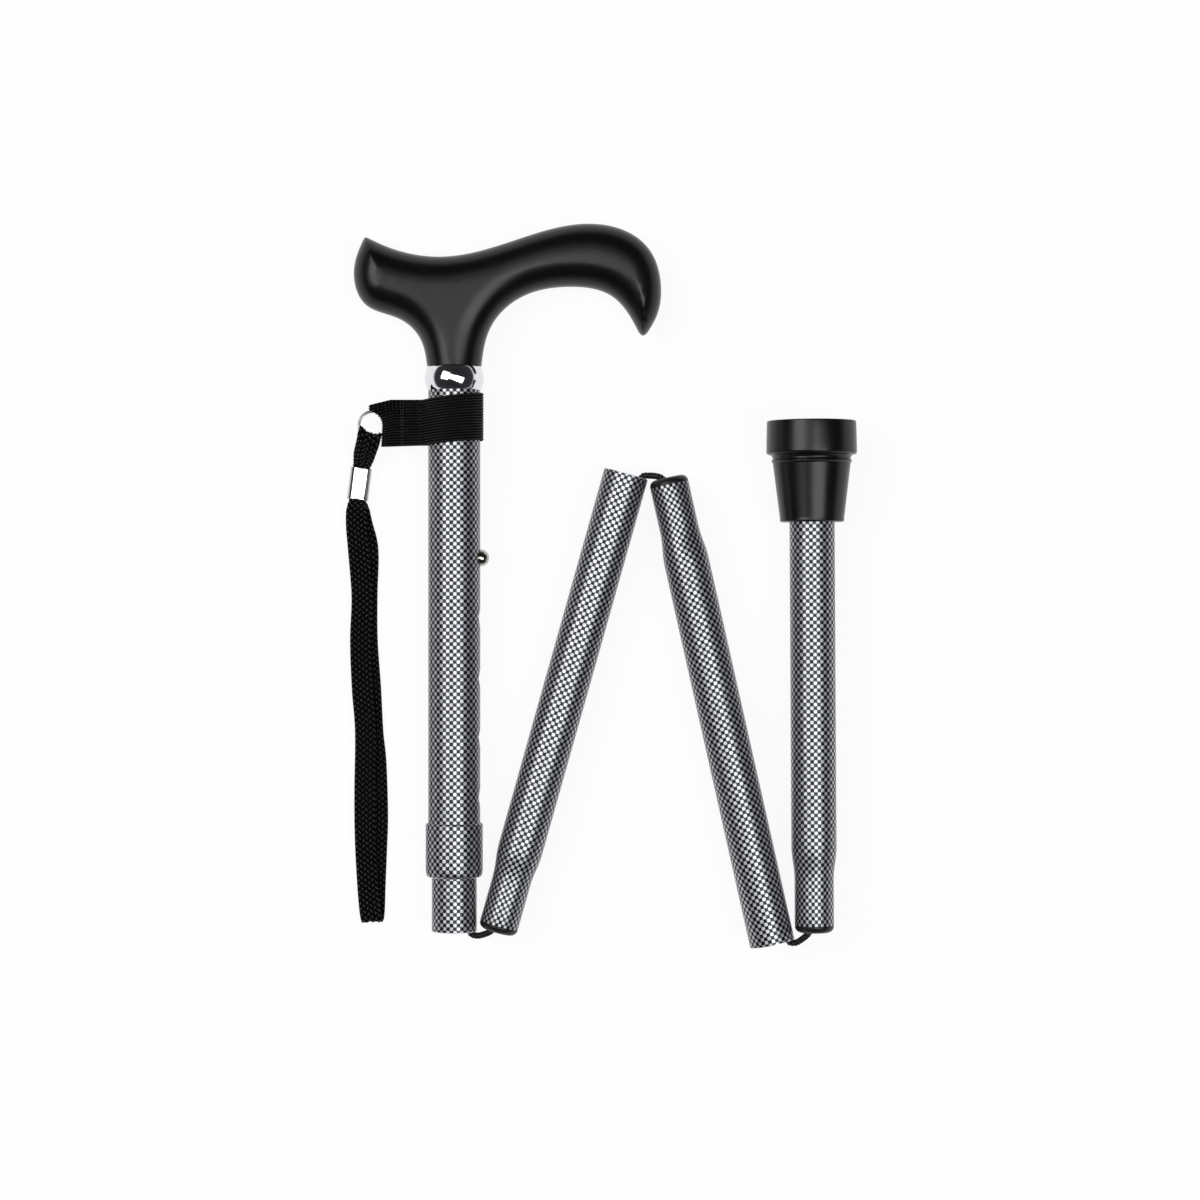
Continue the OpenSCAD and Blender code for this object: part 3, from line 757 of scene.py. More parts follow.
def braid_core(line, widths, frames, columns, thick):
    """Flat core of a braid, with yarns that lean to and fro from column to column."""
    wraps = ring_wrap(line)
    inward = (table_point((RING[0], RING[1], 12.1)) - table_point(BIGHT[6])).normalized()
    weave = Weave()
    ring = 2 * columns + 2
    slant = math.radians(38.0)
    for point, width, wrap, (_, wide, up) in zip(line, widths, wraps, frames):
        for side in (1, -1):
            for k in range(columns + 1):
                share = (k / columns - 0.5) * side
                crown = math.sqrt(max(0.05, 1 - (1.9 * share) ** 2))
                reach = width * 0.95 * share
                weave.points.append(point + wide * reach + up * (side * thick * 0.27 * crown)
                                    + inward * (wrap * reach * reach))
    for i in range(len(line) - 1):
        way, wide, up = frames[i]
        for k in range(ring):
            m = (k + 1) % ring
            on_side = k == columns or k == ring - 1
            side = 1 if k <= columns else -1
            column = k if side == 1 else k - columns - 1
            lean = 1 if column % 2 else -1
            share = ((column + 0.5) / columns - 0.5) * side
            weave.face((i * ring + k, i * ring + m, (i + 1) * ring + m, (i + 1) * ring + k),
                       way * math.cos(slant) + wide * (lean * math.sin(slant)),
                       (up * side + wide * (0.9 * share)).normalized(),
                       not on_side and i % 2 == column % 2)
    weave.face(range(ring - 1, -1, -1))
    weave.face(range((len(line) - 1) * ring, len(line) * ring))
    return weave


class CANE_OT_make_strap(bpy.types.Operator):
    """Make the flat braid of the wrist loop, its ring and its crimp"""

    bl_idname = "cane.make_strap"
    bl_label = "Wrist strap"

    def execute(self, context):
        route = [table_point(point) for point in BIGHT + LOOP]
        line = even_line(smooth_line(route, 12), sizes().plait_row / 2)
        ring_share = line_length([table_point(point) for point in BIGHT]) / line_length(line)

        def across(share):
            return Vector((0.94, -0.34, 0.0) if share < ring_share else (1.0, 0.1, 0.0))

        frames = rail(line, across)
        core = braid_core(line, strap_width(line), frames, sizes().plait_columns, sizes().strap_t)
        strap = woven("wrist_loop_braid", core, BRAID_YARN, "braid_yarn")
        dressed(strap, "wrist_strap", "strap_braid", "strap_bight", "strap_loop")
        crimp = make_crimp()
        ring = make_ring()
        return {"FINISHED"}


def make_crimp():
    """Flat metal sleeve with rolled lips and a closed seam under it."""
    top, foot = (table_point(end) for end in CRIMP)
    up = Vector((0, 0, 1))
    across = (top - foot).normalized().cross(up)
    rings = []
    for share, swell in CRIMP_ROWS:
        ring = []
        for k in range(CRIMP_SIDES):
            a = 2 * math.pi * (k + 0.5) / CRIMP_SIDES
            x = powered(math.cos(a), 0.86) * (CRIMP_HALF[0] + swell)
            z = powered(math.sin(a), 0.9) * (CRIMP_HALF[1] + swell)
            if k in CRIMP_SEAM and swell > -0.4:
                z += CRIMP_SEAM_IN
            ring.append(foot.lerp(top, share) + (across * x + up * z) * MM)
        rings.append(ring)
    bm = bmesh.new()
    loft(bm, rings, closed=True)
    crimp = mesh_object("strap_crimp_sleeve", bm, ["bright_crimp"])
    return dressed(crimp, "wrist_strap", "crimp_metal", "strap_crimp")


def make_ring():
    """Split ring of two flat turns of wire."""
    place = handle_place() @ Matrix.Translation((RING[0] * MM, RING[1] * MM, 0.0))
    steps, sides = 192, 12
    rings = []
    for i in range(steps + 1):
        share = i / steps
        a = math.radians(140.0) + share * 4 * math.pi * 0.985
        rise = -0.3 + 0.6 * clamped((share - 0.44) / 0.12)
        ring = []
        for k in range(sides):
            b = 2 * math.pi * k / sides
            r = RING_R + RING_WIRE[0] * powered(math.cos(b), 0.8)
            z = rise + RING_WIRE[1] * powered(math.sin(b), 0.8)
            ring.append(place @ (Vector((r * math.cos(a), r * math.sin(a), z)) * MM))
        rings.append(ring)
    bm = bmesh.new()
    made = loft(bm, rings)
    bm.faces.new(made[0])
    bm.faces.new(made[-1])
    ring = mesh_object("strap_split_ring", bm, ["wire_steel"])
    return dressed(ring, "wrist_strap", "ring_steel", "strap_ring")


# Elastic band

FOLD_X = -30.0
TAIL_X = -22.0
TAIL_SEWN_X = -14.2
TUBE_SIDE_X = -13.0
SEAM_ROWS = (-22.3, -21.6, -14.4)
RIB_YARN = (1.15, 0.72, 0.74)
STITCH_YARN = (1.75, 0.5, 0.6)


def band_layer():
    """Height of the middle of one layer of the tail, in millimetres."""
    return length("band_t") * 0.52


def band_path():
    """The band's line in X and Z from the tube's axis, in millimetres: fold, tail, round the tube, tail."""
    layer = band_layer()
    reach = UPPER_R + 0.05 + length("band_t") / 2
    fold = Vector((RING[0] + RING_R, 0.0))
    points = []
    for k in range(13):
        a = math.radians(270.0 - 15.0 * k)
        points.append(fold + Vector((math.cos(a), math.sin(a))) * 1.5)
    points += [Vector((-27.0, 1.1)), Vector((-25.2, layer))]
    points += [Vector((-23.5 + 1.0 * k, layer)) for k in range(10)]
    leave = math.acos(reach / 14.1)
    first = math.pi - leave
    points.append(Vector((TUBE_SIDE_X, layer + 0.9)))
    for k in range(49):
        a = first - (2 * math.pi - 2 * leave) * k / 48
        points.append(Vector((math.cos(a), math.sin(a))) * reach)
    points.append(Vector((TUBE_SIDE_X, -layer - 0.9)))
    points += [Vector((-14.5 - 1.0 * k, -layer)) for k in range(10)]
    points += [Vector((-25.2, -layer)), Vector((-27.0, -1.1))]
    return points


def band_edges(x):
    """Lower and upper edge of the band, in millimetres from the neck's foot."""
    if x > TUBE_SIDE_X:
        rise = 1.25 * (1 + x / 11.75)
        return -33.4 + 0.8 * rise, -14.1 + 1.1 * rise
    low = -33.5 + 0.03 * (x - TUBE_SIDE_X)
    high = -14.2 if x > -25.0 else -14.2 + (x + 25.0) * 0.46
    return low, high


def fold_end(y):
    """Where the fold ends at a height: it follows the ring's wire, and hangs straight below it."""
    rise = y - RING[1]
    if rise < 0.0:
        return FOLD_X + 0.045 * rise
    return FOLD_X - RING_R + math.sqrt(max(0.05, RING_R * RING_R - rise * rise))


def band_spot(x, z, share, out, place):
    """A point of the band at a share of its width, moved out along its thickness."""
    low, high = band_edges(x)
    y = low + (high - low) * share
    if x < TAIL_X:
        x = TAIL_X + (x - TAIL_X) * (fold_end(y) - TAIL_X) / (FOLD_X - TAIL_X)
    return place @ (Vector((x + out.x, y, z + out.y)) * MM)


class CANE_OT_make_band(bpy.types.Operator):
    """Make the ribbed elastic band round the upper tube, with its sewn tail"""

    bl_idname = "cane.make_band"
    bl_label = "Elastic band"

    def execute(self, context):
        place = handle_place()
        path = band_path()
        path = even_line([point.to_3d() for point in path + path[:1]], length("rib_step"))[:-1]
        count, rows = len(path), sizes().rib_rows
        half = length("band_t") * 0.30
        weave = Weave()
        points, spots = weave.points, {}
        for i, here in enumerate(path):
            along = (path[(i + 1) % count] - path[i - 1]).normalized()
            out = Vector((-along.y, along.x))
            seam = min(abs(here.x - TAIL_X), abs(here.x - TAIL_SEWN_X))
            sink = 0.22 * max(0.0, 1 - seam / 0.9) if here.x < -11.0 else 0.0
            for layer, depth in enumerate((half - sink, -half)):
                for k in range(rows + 1):
                    spots[i, layer, k] = len(points)
                    points.append(band_spot(here.x, here.y, k / rows, out * depth, place))
        for i in range(count):
            j = (i + 1) % count
            for layer in (0, 1):
                for k in range(rows):
                    a, b = spots[i, layer, k], spots[j, layer, k]
                    c, d = spots[j, layer, k + 1], spots[i, layer, k + 1]
                    way = (points[b] - points[a]).normalized()
                    out = way.cross(points[d] - points[a]).normalized() * (-1 if layer else 1)
                    weave.face((a, b, c, d) if layer else (d, c, b, a), way, out, layer == 0)
            for k in (0, rows):
                edge = (spots[i, 0, k], spots[j, 0, k], spots[j, 1, k], spots[i, 1, k])
                weave.face(edge if k == 0 else edge[::-1])
        band = woven("elastic_band_ribs", weave, RIB_YARN, "webbing_yarn")
        dressed(band, "handle_section", "elastic_webbing", "strap_band")
        seams = make_seams(place, half)
        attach(seams, "handle_section")
        return {"FINISHED"}


def make_seams(place, half):
    """Rows of stitches across the tail, on its two faces."""
    weave = Weave()
    for x in SEAM_ROWS:
        for face in (1, -1):
            low, high = band_edges(x)
            count = int((high - low - 2.0) / 1.45)
            for k in range(count):
                share = (k + 0.5) / count * 0.94 + 0.03
                lean = 0.18 if k % 2 else -0.18
                z = face * (band_layer() + half - 0.05)
                here = band_spot(x, z, share, Vector((0.0, 0.0)), place)
                first = len(weave.points)
                for dx, dy in ((-1, -1), (1, -1), (1, 1), (-1, 1)):
                    weave.points.append(here + Vector((dx, dy, 0.0)) * (0.1 * MM))
                way = Vector((lean, 1.0, 0.0)).normalized()
                weave.face(range(first, first + 4), way, (0.0, 0.0, face), True)
    return woven("band_tail_stitches", weave, STITCH_YARN, "webbing_yarn")


# Handle

NECK_R = 11.5
INNER_RUN = ((NECK_R, 0), (14.2, 13.6), (18.5, 21.2), (27.6, 28.8), (49, 33.6), (66.9, 29.4), (74.2, 21.2),
             (78.1, 14.0))
TIP_RUN = ((78.1, 14.0), (79.7, 12.7), (81.4, 13.7))
OUTER_RUN = ((81.4, 13.7), (85.6, 21.2), (87.4, 34.5), (82.2, 49.8), (74.1, 56.4), (55.5, 60.2), (26, 53.4),
             (-6, 46.3), (-30.2, 51.3), (-37.7, 54.9))
BACK_RUN = ((-37.7, 54.9), (-41.4, 46.2), (-42.5, 38.7), (-37.5, 26), (-23, 19.9), (-14.1, 11), (-NECK_R, 0))


def flowing(points, steps):
    """Spline through flat points that bends no more than it needs to."""
    knots = np.array(points, float)
    gaps = np.linalg.norm(np.diff(knots, axis=0), axis=1)
    count = len(knots)
    matrix = np.eye(count)
    turns = np.zeros((count, 2))
    for i in range(1, count - 1):
        matrix[i, i - 1:i + 2] = gaps[i - 1], 2 * (gaps[i - 1] + gaps[i]), gaps[i]
        turns[i] = 6 * ((knots[i + 1] - knots[i]) / gaps[i] - (knots[i] - knots[i - 1]) / gaps[i - 1])
    bends = np.linalg.solve(matrix, turns)
    line = []
    for i in range(count - 1):
        for k in range(steps):
            t = k / steps
            s = 1 - t
            line.append(knots[i] * s + knots[i + 1] * t
                        + ((s ** 3 - s) * bends[i] + (t ** 3 - t) * bends[i + 1]) * (gaps[i] ** 2 / 6))
    return line + [knots[-1]]


def flat_line(points, step):
    """An outline with its points about a step apart."""
    return np.array(even_line([Vector((x, y, 0.0)) for x, y in points], step))[:, :2]


def handle_outline():
    """Fine outline of the handle from the neck's front edge round to its back edge, with blunted tips."""
    line = []
    for run in (INNER_RUN, TIP_RUN, OUTER_RUN, BACK_RUN):
        line += flowing(run, 40)[:-1]
    line.append(BACK_RUN[-1])
    fine = flat_line(line, 0.15)
    for _ in range(60):
        fine[1:-1] = fine[1:-1] * 0.5 + (fine[:-2] + fine[2:]) * 0.25
    return fine


def inner_circles(line, inward, most):
    """Radius of the largest circle inside the outline that touches it at each point."""
    radii = []
    for here, normal in zip(line, inward):
        away = line - here
        depth = away @ normal
        across = np.einsum("ij,ij->i", away, away)
        good = depth > 1e-3
        radii.append(min(most, float(np.min(across[good] / (2 * depth[good]))) if good.any() else most))
    return radii


def handle_points(fine, near, bend):
    """Flat points of the handle and their depths, and how many are on the outline and on the border."""
    line = flat_line(fine, 0.85)
    count = len(line)
    tangent = np.roll(line, -1, 0) - np.roll(line, 1, 0)
    inward = np.stack((-tangent[:, 1], tangent[:, 0]), 1)
    inward /= np.linalg.norm(inward, axis=1)[:, None]
    inward[0], inward[-1] = (-1.0, 0.0), (1.0, 0.0)
    radii = inner_circles(line, inward, bend)
    flat = [Vector((x, y)) for x, y in line]
    depths = [0.0] * count
    for k in range(1, 24):
        x = -NECK_R + 2 * NECK_R * k / 24
        flat.append(Vector((x, 0.0)))
        depths.append(NECK_R - abs(x))
    border = len(flat)

    def add(i, inset):
        spot = line[i] + inward[i] * inset
        if spot[1] > 0.5:
            flat.append(Vector(spot))
            depths.append(inset)

    for step in range(1, 11):
        inset = bend * (1 - math.cos(math.radians(9.0 * step)))
        for i in range(1, count - 1):
            if inset < radii[i] * 0.96:
                add(i, inset)
    for i in range(2, count - 1, 2):
        if radii[i] < bend * 0.995:
            add(i, radii[i])
    for x in np.arange(-40.0, 86.0, 1.6):
        for y in np.arange(1.2, 57.0, 1.6):
            if near.find((x, y, 0.0))[2] > bend + 0.6 and inside(line, x, y):
                flat.append(Vector((x, y)))
                depths.append(bend)
    return flat, depths, count, border


class CANE_OT_make_handle(bpy.types.Operator):
    """Make the lacquered handle with its rounded edges"""

    bl_idname = "cane.make_handle"
    bl_label = "Handle"

    def execute(self, context):
        bend = length("handle_round")
        fine = handle_outline()
        near = KDTree(len(fine))
        for i, (x, y) in enumerate(fine):
            near.insert((x, y, 0.0), i)
        near.balance()
        flat, depths, count, border = handle_points(fine, near, bend)
        made = delaunay_2d_cdt(flat, [], [list(range(border))], 1, 1e-5, True)
        spots, triangles, origins = made[0], made[2], made[3]
        bm = bmesh.new()
        place = millimetres(handle_place())
        top, under = [], []
        for spot, origin in zip(spots, origins):
            depth = depths[origin[0]] if origin else min(bend, near.find(spot.to_3d())[2])
            height = math.sqrt(max(0.0, 2 * bend * depth - depth * depth))
            upper = bm.verts.new(place @ Vector((spot.x, spot.y, height)))
            top.append(upper)
            under.append(upper if height < 1e-6 else bm.verts.new(place @ Vector((spot.x, spot.y, -height))))
        for a, b, c in triangles:
            if all(top[n] is under[n] for n in (a, b, c)):
                continue
            bm.faces.new((top[a], top[b], top[c]))
            bm.faces.new((under[c], under[b], under[a]))
        row = [count - 1] + list(range(count, border)) + [0]
        ends = [next(i for i, origin in enumerate(origins) if n in origin) for n in row]
        for a, b in zip(ends, ends[1:]):
            corners = [top[a], top[b], under[b], under[a]]
            bm.faces.new([v for k, v in enumerate(corners) if v not in corners[:k]])
        handle = mesh_object("derby_handle", bm, ["satin_lacquer"], 50.0)
        dressed(handle, "handle_section", "handle_lacquer", "handle")
        return {"FINISHED"}


def inside(line, x, y):
    """Whether a point lies inside the outline."""
    x0, y0 = line[:, 0], line[:, 1]
    x1, y1 = np.roll(x0, -1), np.roll(y0, -1)
    spans = (y0 > y) != (y1 > y)
    rise = np.where(spans, y1 - y0, 1.0)
    hits = spans & (x < (x1 - x0) * (y - y0) / rise + x0)
    return bool(hits.sum() % 2)


class CANE_OT_make_collar(bpy.types.Operator):
    """Make the bulged chrome collar under the handle"""

    bl_idname = "cane.make_collar"
    bl_label = "Handle collar"

    def execute(self, context):
        bore, rim, bulge, tall, edge = 11.05, 11.12, 1.38, 10.2, 0.12
        profile = [(bore, 0.0)]
        for k in range(33):
            swell = math.sin(math.pi * k / 32) ** 0.75
            profile.append((rim + bulge * swell, -edge - (tall - 2 * edge) * k / 32))
        profile.append((bore, -tall))
        collar = turned("chrome_neck_collar", handle_place(), profile, ["chrome_plate"], 128)
        dressed(collar, "handle_section", "collar_chrome", "handle_collar")
        return {"FINISHED"}


# Tubes

UPPER_BORE = 9.8
UPPER_RUN = (-1.0, -207.0)
TUBE_R, TUBE_BORE = 9.5, 8.3
HEIGHT_RUN = (-52.8, -238.8)
MALE_R, MALE_BORE = 8.25, 7.05
MALE_RUN = (3.0, 25.0)
TAPER_END = 33.5
TUBE_ENDS = {"second": 200.8, "third": 200.8, "lower": 205.0}
LOCK_R, LOCK_BORE = 12.1, 11.15
LOCK_RUN = (-193.0, -216.0)
LOCK_STEP = -213.4
FIRST_HOLE, HOLE_STEP, HOLE_R = -81.0, 25.4, 3.8


def tube_corners(r, bore, start, end):
    """Corners of a plain tube: printed outside, bare ends and bore."""
    return ([(r, start, 0.25)] + long_run(r, start, end, 6.0)
            + [(r, end, 0.25, 1), (bore, end, 0.2, 1), (bore, start, 0.2, 1)])


def folding_corners(end):
    """Corners of a folding tube with its narrowed end at the plug."""
    start, narrow = MALE_RUN
    return ([(MALE_R, start, 0.25)] + long_run(MALE_R, start, narrow, 5.0)
            + [(MALE_R, narrow, 3.2), (TUBE_R, TAPER_END, 3.6)] + long_run(TUBE_R, TAPER_END, end, 6.0)
            + [(TUBE_R, end, 0.25, 1), (TUBE_BORE, end, 0.2, 1), (TUBE_BORE, TAPER_END, 2.0, 1),
               (MALE_BORE, narrow, 2.0, 1), (MALE_BORE, start, 0.2, 1)])


def lock_corners():
    """Corners of the lock collar, with a rounded lip over the end of the upper tube."""
    top, foot = LOCK_RUN
    return ([(LOCK_BORE, top, 0.0, 1), (11.6, top, 0.2), (LOCK_R, top - 0.5, 0.4)]
            + long_run(LOCK_R, top - 0.5, LOCK_STEP, 4.0)
            + [(LOCK_R, LOCK_STEP, 1.6), (11.7, foot + 0.8, 0.8), (10.6, foot, 0.5, 1),
               (UPPER_BORE, foot, 0.2, 1), (UPPER_BORE, LOCK_STEP, 0.0, 1), (LOCK_BORE, LOCK_STEP, 0.0, 1)])


def print_tube(name, place, corners, checks, r, segments=120):
    """A turned piece with the check print outside and bare metal at its cut faces."""
    return turned(name, place, rounded(corners), ["check_print", "cut_aluminium"], segments, checks, r)


def hole_cutter(place, along, reach):
    """A round cutter out of a tube's side."""
    profile = [(0.0, 0.0, 1), (HOLE_R, 0.0, 1), (HOLE_R, reach, 1), (0.0, reach, 1)]
    return turned("hole_cutter", cross_place(place, along), profile, ["check_print", "cut_aluminium"], 48)


class CANE_OT_make_tubes(bpy.types.Operator):
    """Make the printed tubes and the lock collar"""

    bl_idname = "cane.make_tubes"
    bl_label = "Printed tubes"

    def execute(self, context):
        place = handle_place()
        checks = sizes().checks_tube
        upper = print_tube("upper_print_tube", place, tube_corners(UPPER_R, UPPER_BORE, *UPPER_RUN),
                           sizes().checks_upper, UPPER_R)
        bored(upper, [hole_cutter(place, FIRST_HOLE - HOLE_STEP * k, 13.0) for k in range(5)])
        dressed(upper, "handle_section", "check_tube", "upper_tube")
        height = print_tube("height_print_tube", place, tube_corners(TUBE_R, TUBE_BORE, *HEIGHT_RUN),
                            checks, TUBE_R)
        bored(height, [hole_cutter(place, FIRST_HOLE, 11.0)])
        dressed(height, "height_section", "check_tube", "height_tube")
        for name, end in TUBE_ENDS.items():
            tube = print_tube(name + "_print_tube", section_place(name), folding_corners(end), checks, TUBE_R)
            dressed(tube, name + "_section", "check_tube", name + "_tube")
        collar = print_tube("lock_print_collar", place, lock_corners(), sizes().checks_collar, LOCK_R, 128)
        dressed(collar, "collar_body", "check_tube", "lock_collar")
        return {"FINISHED"}


class CANE_OT_make_button(bpy.types.Operator):
    """Make the ball-headed snap button"""

    bl_idname = "cane.make_button"
    bl_label = "Snap button"

    def execute(self, context):
        ball_r, ball_at = 3.6, 11.2
        profile = [(0.0, 5.2), (4.4, 5.2), (4.6, 5.4), (4.6, 6.2), (4.4, 6.4), (3.75, 6.4), (ball_r, 6.6),
                   (ball_r, 11.0)]
        for k in range(1, 24):
            a = math.radians(3.75 * k)
            profile.append((ball_r * math.cos(a), ball_at + ball_r * math.sin(a)))
        profile.append((0.0, ball_at + ball_r))
        place = cross_place(handle_place(), FIRST_HOLE)
        button = turned("ball_snap_button", place, profile, ["ball_steel"], 64)
        dressed(button, "button_body", "button_steel", "snap_button")
        return {"FINISHED"}


class CANE_OT_make_plugs(bpy.types.Operator):
    """Make the black plugs of the narrowed ends"""

    bl_idname = "cane.make_plugs"
    bl_label = "End plugs"

    def execute(self, context):
        nose_r, nose_at = 2.6, 5.6
        corners = [(5.0, 0.0, 0.5)]
        for k in range(10):
            a = math.radians(10.0 * k)
            corners.append((nose_at + nose_r * math.sin(a), nose_r - nose_r * math.cos(a), 0.0))
        corners += [(8.2, 3.0, 0.1), (7.0, 3.0, 0.0), (7.0, 18.0, 0.4), (2.05, 18.0, 0.3), (2.05, 5.0, 1.6)]
        for name in SEATS:
            plug = turned(name + "_end_plug", section_place(name), rounded(corners, 8), ["moulded_plug"])
            dressed(plug, name + "_section", "plug_plastic", name + "_plug")
        return {"FINISHED"}


# Elastic cord

BENDS = (("upper", "height", "second", 1), ("middle", "second", "third", -1), ("lower", "third", "lower", 1))
RUN_START = 30.3
RUN_ENDS = {"second": 173.5, "third": 173.5, "lower": 200.05}
HEIGHT_CORD = (-211.5, -97.95)
KNOT_R = 3.0
SLEEVE_YARN = (2.0, 0.95, 0.5)


def bend_line(rim, parent, side, tip, child):
    """The cord's line out of one tube, round its rim and into the next tube's plug."""
    radius = length("cord_d") / 2
    aside = UP.cross(parent) * side
    away = UP.cross(child) * -side
    reach = TUBE_BORE - radius - 0.35
    lip = rim + (aside * TUBE_R + parent * (radius + 0.35)) * MM
    mouth = tip - away * ((radius + 0.7) * MM)
    points = [rim - parent * (27 * MM), rim - parent * (22 * MM),
              rim + (aside * (reach * 0.6) - parent * 12) * MM, rim + (aside * reach - parent * 4) * MM,
              rim + (aside * (reach + 0.3) + parent * 0.6) * MM, lip,
              (lip + mouth) / 2 + parent * (0.5 * MM), mouth,
              tip + child * (6 * MM), tip + child * (12 * MM), tip + child * (30 * MM)]
    return points


class CANE_OT_make_cord(bpy.types.Operator):
    """Make the elastic cord: its sleeved bends between the tubes and its runs inside them"""

    bl_idname = "cane.make_cord"
    bl_label = "Elastic cord"

    def execute(self, context):
        for name, parent, child, side in BENDS:
            way = section_way(parent) if parent in SEATS else Vector((0.0, -1.0, 0.0))
            rim = axis_ends(parent + "_tube", way)[1]
            points = bend_line(rim, way, side, section_tip(child), section_way(child))
            edge, lip, mouth = points[4], points[5], points[7]
            start = lip.lerp(edge, 0.5)
            aside = UP.cross(way) * side
            end = start + aside * ((mouth - start).dot(aside) - 1.7 * MM)
            sleeve = make_sleeve(name + "_bend_sleeve", points)
            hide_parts(name + "_bend")
            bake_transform(sleeve)
            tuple(start)
            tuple(end)
        runs = [("height", handle_place(), *HEIGHT_CORD)]
        runs += [(name, section_place(name), RUN_START, end) for name, end in RUN_ENDS.items()]
        for name, place, start, end in runs:
            run = make_run(name + "_cord_run", place, start, end, name in ("height", "lower"))
            dressed(run, name + "_section", "elastic_cord", name + "_cord")
        return {"FINISHED"}


def make_run(name, place, start, end, knot):
    """Straight cord in a tube, with a knot at its last end where it has one."""
    r = length("cord_d") / 2
    profile = [(0.0, start)]
    count = round((end - start) / 1.6)
    for k in range(count + 1):
        profile.append((r - (0.08 if k % 2 else 0.0), start + (end - start) * k / count))
    if knot:
        for k in range(1, 16):
            a = math.radians(-60.0 + 10.0 * k)
            profile.append((KNOT_R * math.cos(a), end + KNOT_R * math.sin(a)))
        end += KNOT_R
    profile.append((0.0, end))
    return turned(name, place, profile, ["cord_yarn"], 24, sharp=60.0)


def make_sleeve(name, points):
    """Cord with a braided sleeve along a line."""
    line = even_line(smooth_line(points, 10), 1.25 * MM)
    frames = rail(line, lambda share: UP)
    r = (length("cord_d") / 2 - 0.24) * MM
    columns = 8
    weave = Weave()

    def outward(i, turn):
        a = 2 * math.pi * turn / columns
        return frames[i][1] * math.cos(a) + frames[i][2] * math.sin(a)

    for i, point in enumerate(line):
        weave.points += [point + outward(i, k + 0.5 * (i % 2)) * r for k in range(columns)]
    for i in range(len(line) - 1):
        way = frames[i][0]
        here, after = i * columns, (i + 1) * columns
        for k in range(columns):
            m = (k + 1) % columns
            out = outward(i, k + 0.75)
            lean = 0.75 if k % 2 else -0.75
            weave.face((here + k, after + k, after + m, here + m),
                       (way + way.cross(out) * lean).normalized(), out, True)
    last = len(weave.points)
    weave.face(range(columns))
    weave.face(range(last - 1, last - columns - 1, -1))
    return woven(name, weave, SLEEVE_YARN, "cord_yarn")


# Ferrule

class CANE_OT_make_ferrule(bpy.types.Operator):
    """Make the rubber foot with its base band, bead and tread"""

    bl_idname = "cane.make_ferrule"
    bl_label = "Ferrule"

    def execute(self, context):
        bore, deep, foot = 9.55, 205.0, 215.0
        corners = [(bore, deep, 0.0), (bore, 173.5, 0.8), (10.3, 172.5, 0.4), (12.9, 172.5, 0.4),
                   (13.55, 172.9, 0.4), (13.5, 174.0, 0.4), (16.35, 197.2, 0.25), (16.5, 197.5, 0.15),
                   (16.95, 197.9, 0.2), (16.85, 198.4, 0.25), (16.45, 198.8, 0.3), (16.4, 199.6, 0.5),
                   (16.9, 200.5, 0.6), (18.6, 201.0, 0.5), (19.05, 201.7, 0.4), (18.95, 208.0, 3.0),
                   (18.75, 214.7, 0.25), (18.45, foot, 0.2)]
        for r in (15.0, 11.0, 7.0):
            corners += [(r + 1.6, foot, 0.3), (r + 1.5, 213.8, 0.3), (r + 0.1, 213.8, 0.3), (r, foot, 0.3)]
        corners += [(0.0, foot, 0.0), (0.0, deep, 0.0)]
        ferrule = turned("rubber_ferrule", section_place("lower"), rounded(corners), ["moulded_rubber"], 144,
                         sharp=40.0)
        dressed(ferrule, "lower_section", "ferrule_rubber", "ferrule")
        return {"FINISHED"}


class CANE_OT_finish_inside(bpy.types.Operator):
    """Give the pieces inside the cane their finishes"""

    bl_idname = "cane.finish_inside"
    bl_label = "Inner pieces"

    def execute(self, context):
        inner = {"moulded_nylon": ("handle_spigot", "collet", "top_bush", "upper_anchor", "lower_anchor"),
                 "spring_steel": ("snap_spring", "ferrule_washer"), "wire_steel": ("spigot_screw",)}
        for finish, names in inner.items():
            for name in names:
                mesh = frame["nodes"][name].data
                mesh.materials.clear()
                mesh.materials.append(finish_of(finish))
        return {"FINISHED"}


# Stage

CAMERA_AT = (-0.0018, -0.0062, 1.312)
CAMERA_LENS = 92.25
LAMPS = (("softbox_left", (-2.0, 0.62, 3.0), (2.2, 1.85), 67.0, (1.0, 0.99, 0.97)),
         ("softbox_right", (1.1, -0.43, 3.0), (1.45, 2.1), 49.0, (0.96, 0.98, 1.0)),
         ("softbox_middle", (-0.26, 0.1, 3.0), (1.27, 1.8), 13.5, (1.0, 1.0, 0.98)))
TABLE_HALF = 6.0
TABLE_DROP = 0.45
WALLS = ((0.0, (0.80, 0.80, 0.82, 1.0)), (0.08, (0.45, 0.45, 0.47, 1.0)), (0.2, (0.04, 0.04, 0.043, 1.0)),
         (1.0, (0.02, 0.02, 0.022, 1.0)))
HORIZON = 0.10


class CANE_OT_make_stage(bpy.types.Operator):
    """Make the camera, the lights and the table top"""

    bl_idname = "cane.make_stage"
    bl_label = "Stage"

    def execute(self, context):
        scene = context.scene
        scene.view_settings.view_transform = "Standard"
        lens = bpy.data.cameras.new("overhead_camera")
        lens.lens = CAMERA_LENS
        lens.sensor_width = 36.0
        lens.dof.use_dof = False
        camera = bpy.data.objects.new("overhead_camera", lens)
        camera.location = CAMERA_AT
        scene.collection.objects.link(camera)
        scene.camera = camera
        for lamp in LAMPS:
            softbox(scene, *lamp)
        bm = bmesh.new()
        lowered = Matrix.Translation((0.0, 0.0, -TABLE_DROP * MM))
        bmesh.ops.create_grid(bm, x_segments=1, y_segments=1, size=TABLE_HALF, matrix=lowered)
        floor = mesh_object("table_top", bm, ["table_white"])
        make_world(scene)
        return {"FINISHED"}


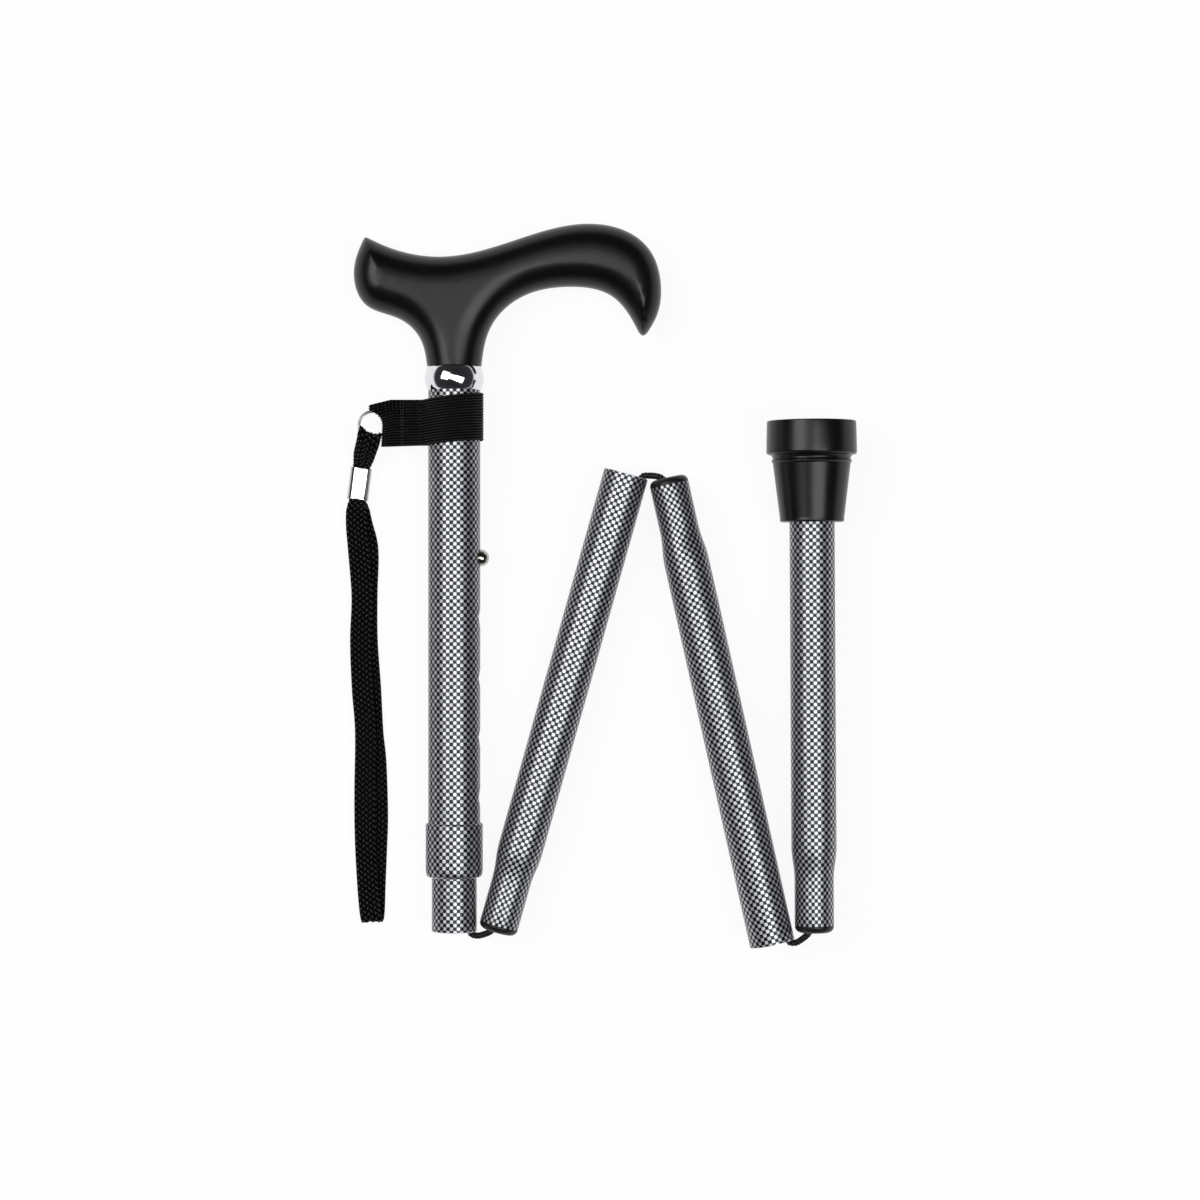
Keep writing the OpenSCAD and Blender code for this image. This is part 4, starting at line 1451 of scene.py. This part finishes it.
def softbox(scene, name, where, area, power, tint):
    """A flat lamp that faces the cane."""
    lamp = bpy.data.lights.new(name, "AREA")
    lamp.shape = "RECTANGLE"
    lamp.size, lamp.size_y = area
    lamp.energy = power
    lamp.color = tint
    made = bpy.data.objects.new(name, lamp)
    made.location = where
    made.rotation_euler = (-Vector(where)).to_track_quat("-Z", "Y").to_euler()
    scene.collection.objects.link(made)


def make_world(scene):
    """Pale walls, a darker ceiling, and white past the table for the camera and in metal and glass."""
    world = bpy.data.worlds.new("studio")
    world.use_nodes = True
    scene.world = world
    nodes = Nodes(world.node_tree)
    coords = nodes.node("ShaderNodeTexCoord", out="Generated")
    height = nodes.node("ShaderNodeSeparateXYZ", {0: coords}, out="Z")
    ramp = nodes.node("ShaderNodeValToRGB", {"Fac": height})
    steps = ramp.node.color_ramp.elements
    for at, _ in WALLS[1:-1]:
        steps.new(at)
    for step, (at, tone) in zip(steps, WALLS):
        step.position = at
        step.color = tone
    room = nodes.node("ShaderNodeBackground", {"Color": ramp})
    white = nodes.node("ShaderNodeBackground", {"Color": (1.0, 1.0, 1.0, 1.0)})
    camera, glossy, through = nodes.rays()
    mirrored = nodes.math("ADD", glossy, through)
    backdrop = nodes.math("MULTIPLY_ADD", mirrored, nodes.span(height, 0.0, 1.0, HORIZON, 0.0), camera)
    nodes.end("ShaderNodeOutputWorld", "Surface",
              nodes.node("ShaderNodeMixShader", {0: backdrop, 1: room, 2: white}))


OPERATORS = (CANE_OT_make_stage, CANE_OT_make_strap, CANE_OT_make_band, CANE_OT_make_handle,
             CANE_OT_make_collar, CANE_OT_make_tubes, CANE_OT_make_button, CANE_OT_make_plugs,
             CANE_OT_make_cord, CANE_OT_make_ferrule, CANE_OT_finish_inside)


class CANE_PT_sidebar(bpy.types.Panel):
    """Lists the cane's sizes, colours and pieces"""

    bl_idname = "CANE_PT_sidebar"
    bl_label = "Folding cane"
    bl_space_type = "VIEW_3D"
    bl_region_type = "UI"
    bl_category = "Folding cane"

    def draw(self, context):
        for group in (context.scene.cane_sizes, context.scene.cane_colours):
            column = self.layout.column(align=True)
            for name in group.__annotations__:
                column.prop(group, name)
        for operator in OPERATORS:
            self.layout.operator(operator.bl_idname)


CLASSES = (CaneSizes, CaneColours) + OPERATORS + (CANE_PT_sidebar,)


def register():
    for cls in CLASSES:
        bpy.utils.register_class(cls)
    bpy.types.Scene.cane_sizes = PointerProperty(type=CaneSizes)
    bpy.types.Scene.cane_colours = PointerProperty(type=CaneColours)


def unregister():
    del bpy.types.Scene.cane_colours
    del bpy.types.Scene.cane_sizes
    for cls in reversed(CLASSES):
        bpy.utils.unregister_class(cls)


def main():
    register()
    bpy.ops.cane.make_stage()
    bpy.ops.cane.make_strap()
    bpy.ops.cane.make_band()
    bpy.ops.cane.make_handle()
    bpy.ops.cane.make_collar()
    bpy.ops.cane.make_tubes()
    bpy.ops.cane.make_button()
    bpy.ops.cane.make_plugs()
    bpy.ops.cane.make_cord()
    bpy.ops.cane.make_ferrule()
    bpy.ops.cane.finish_inside()


if __name__ == "__main__":
    main()
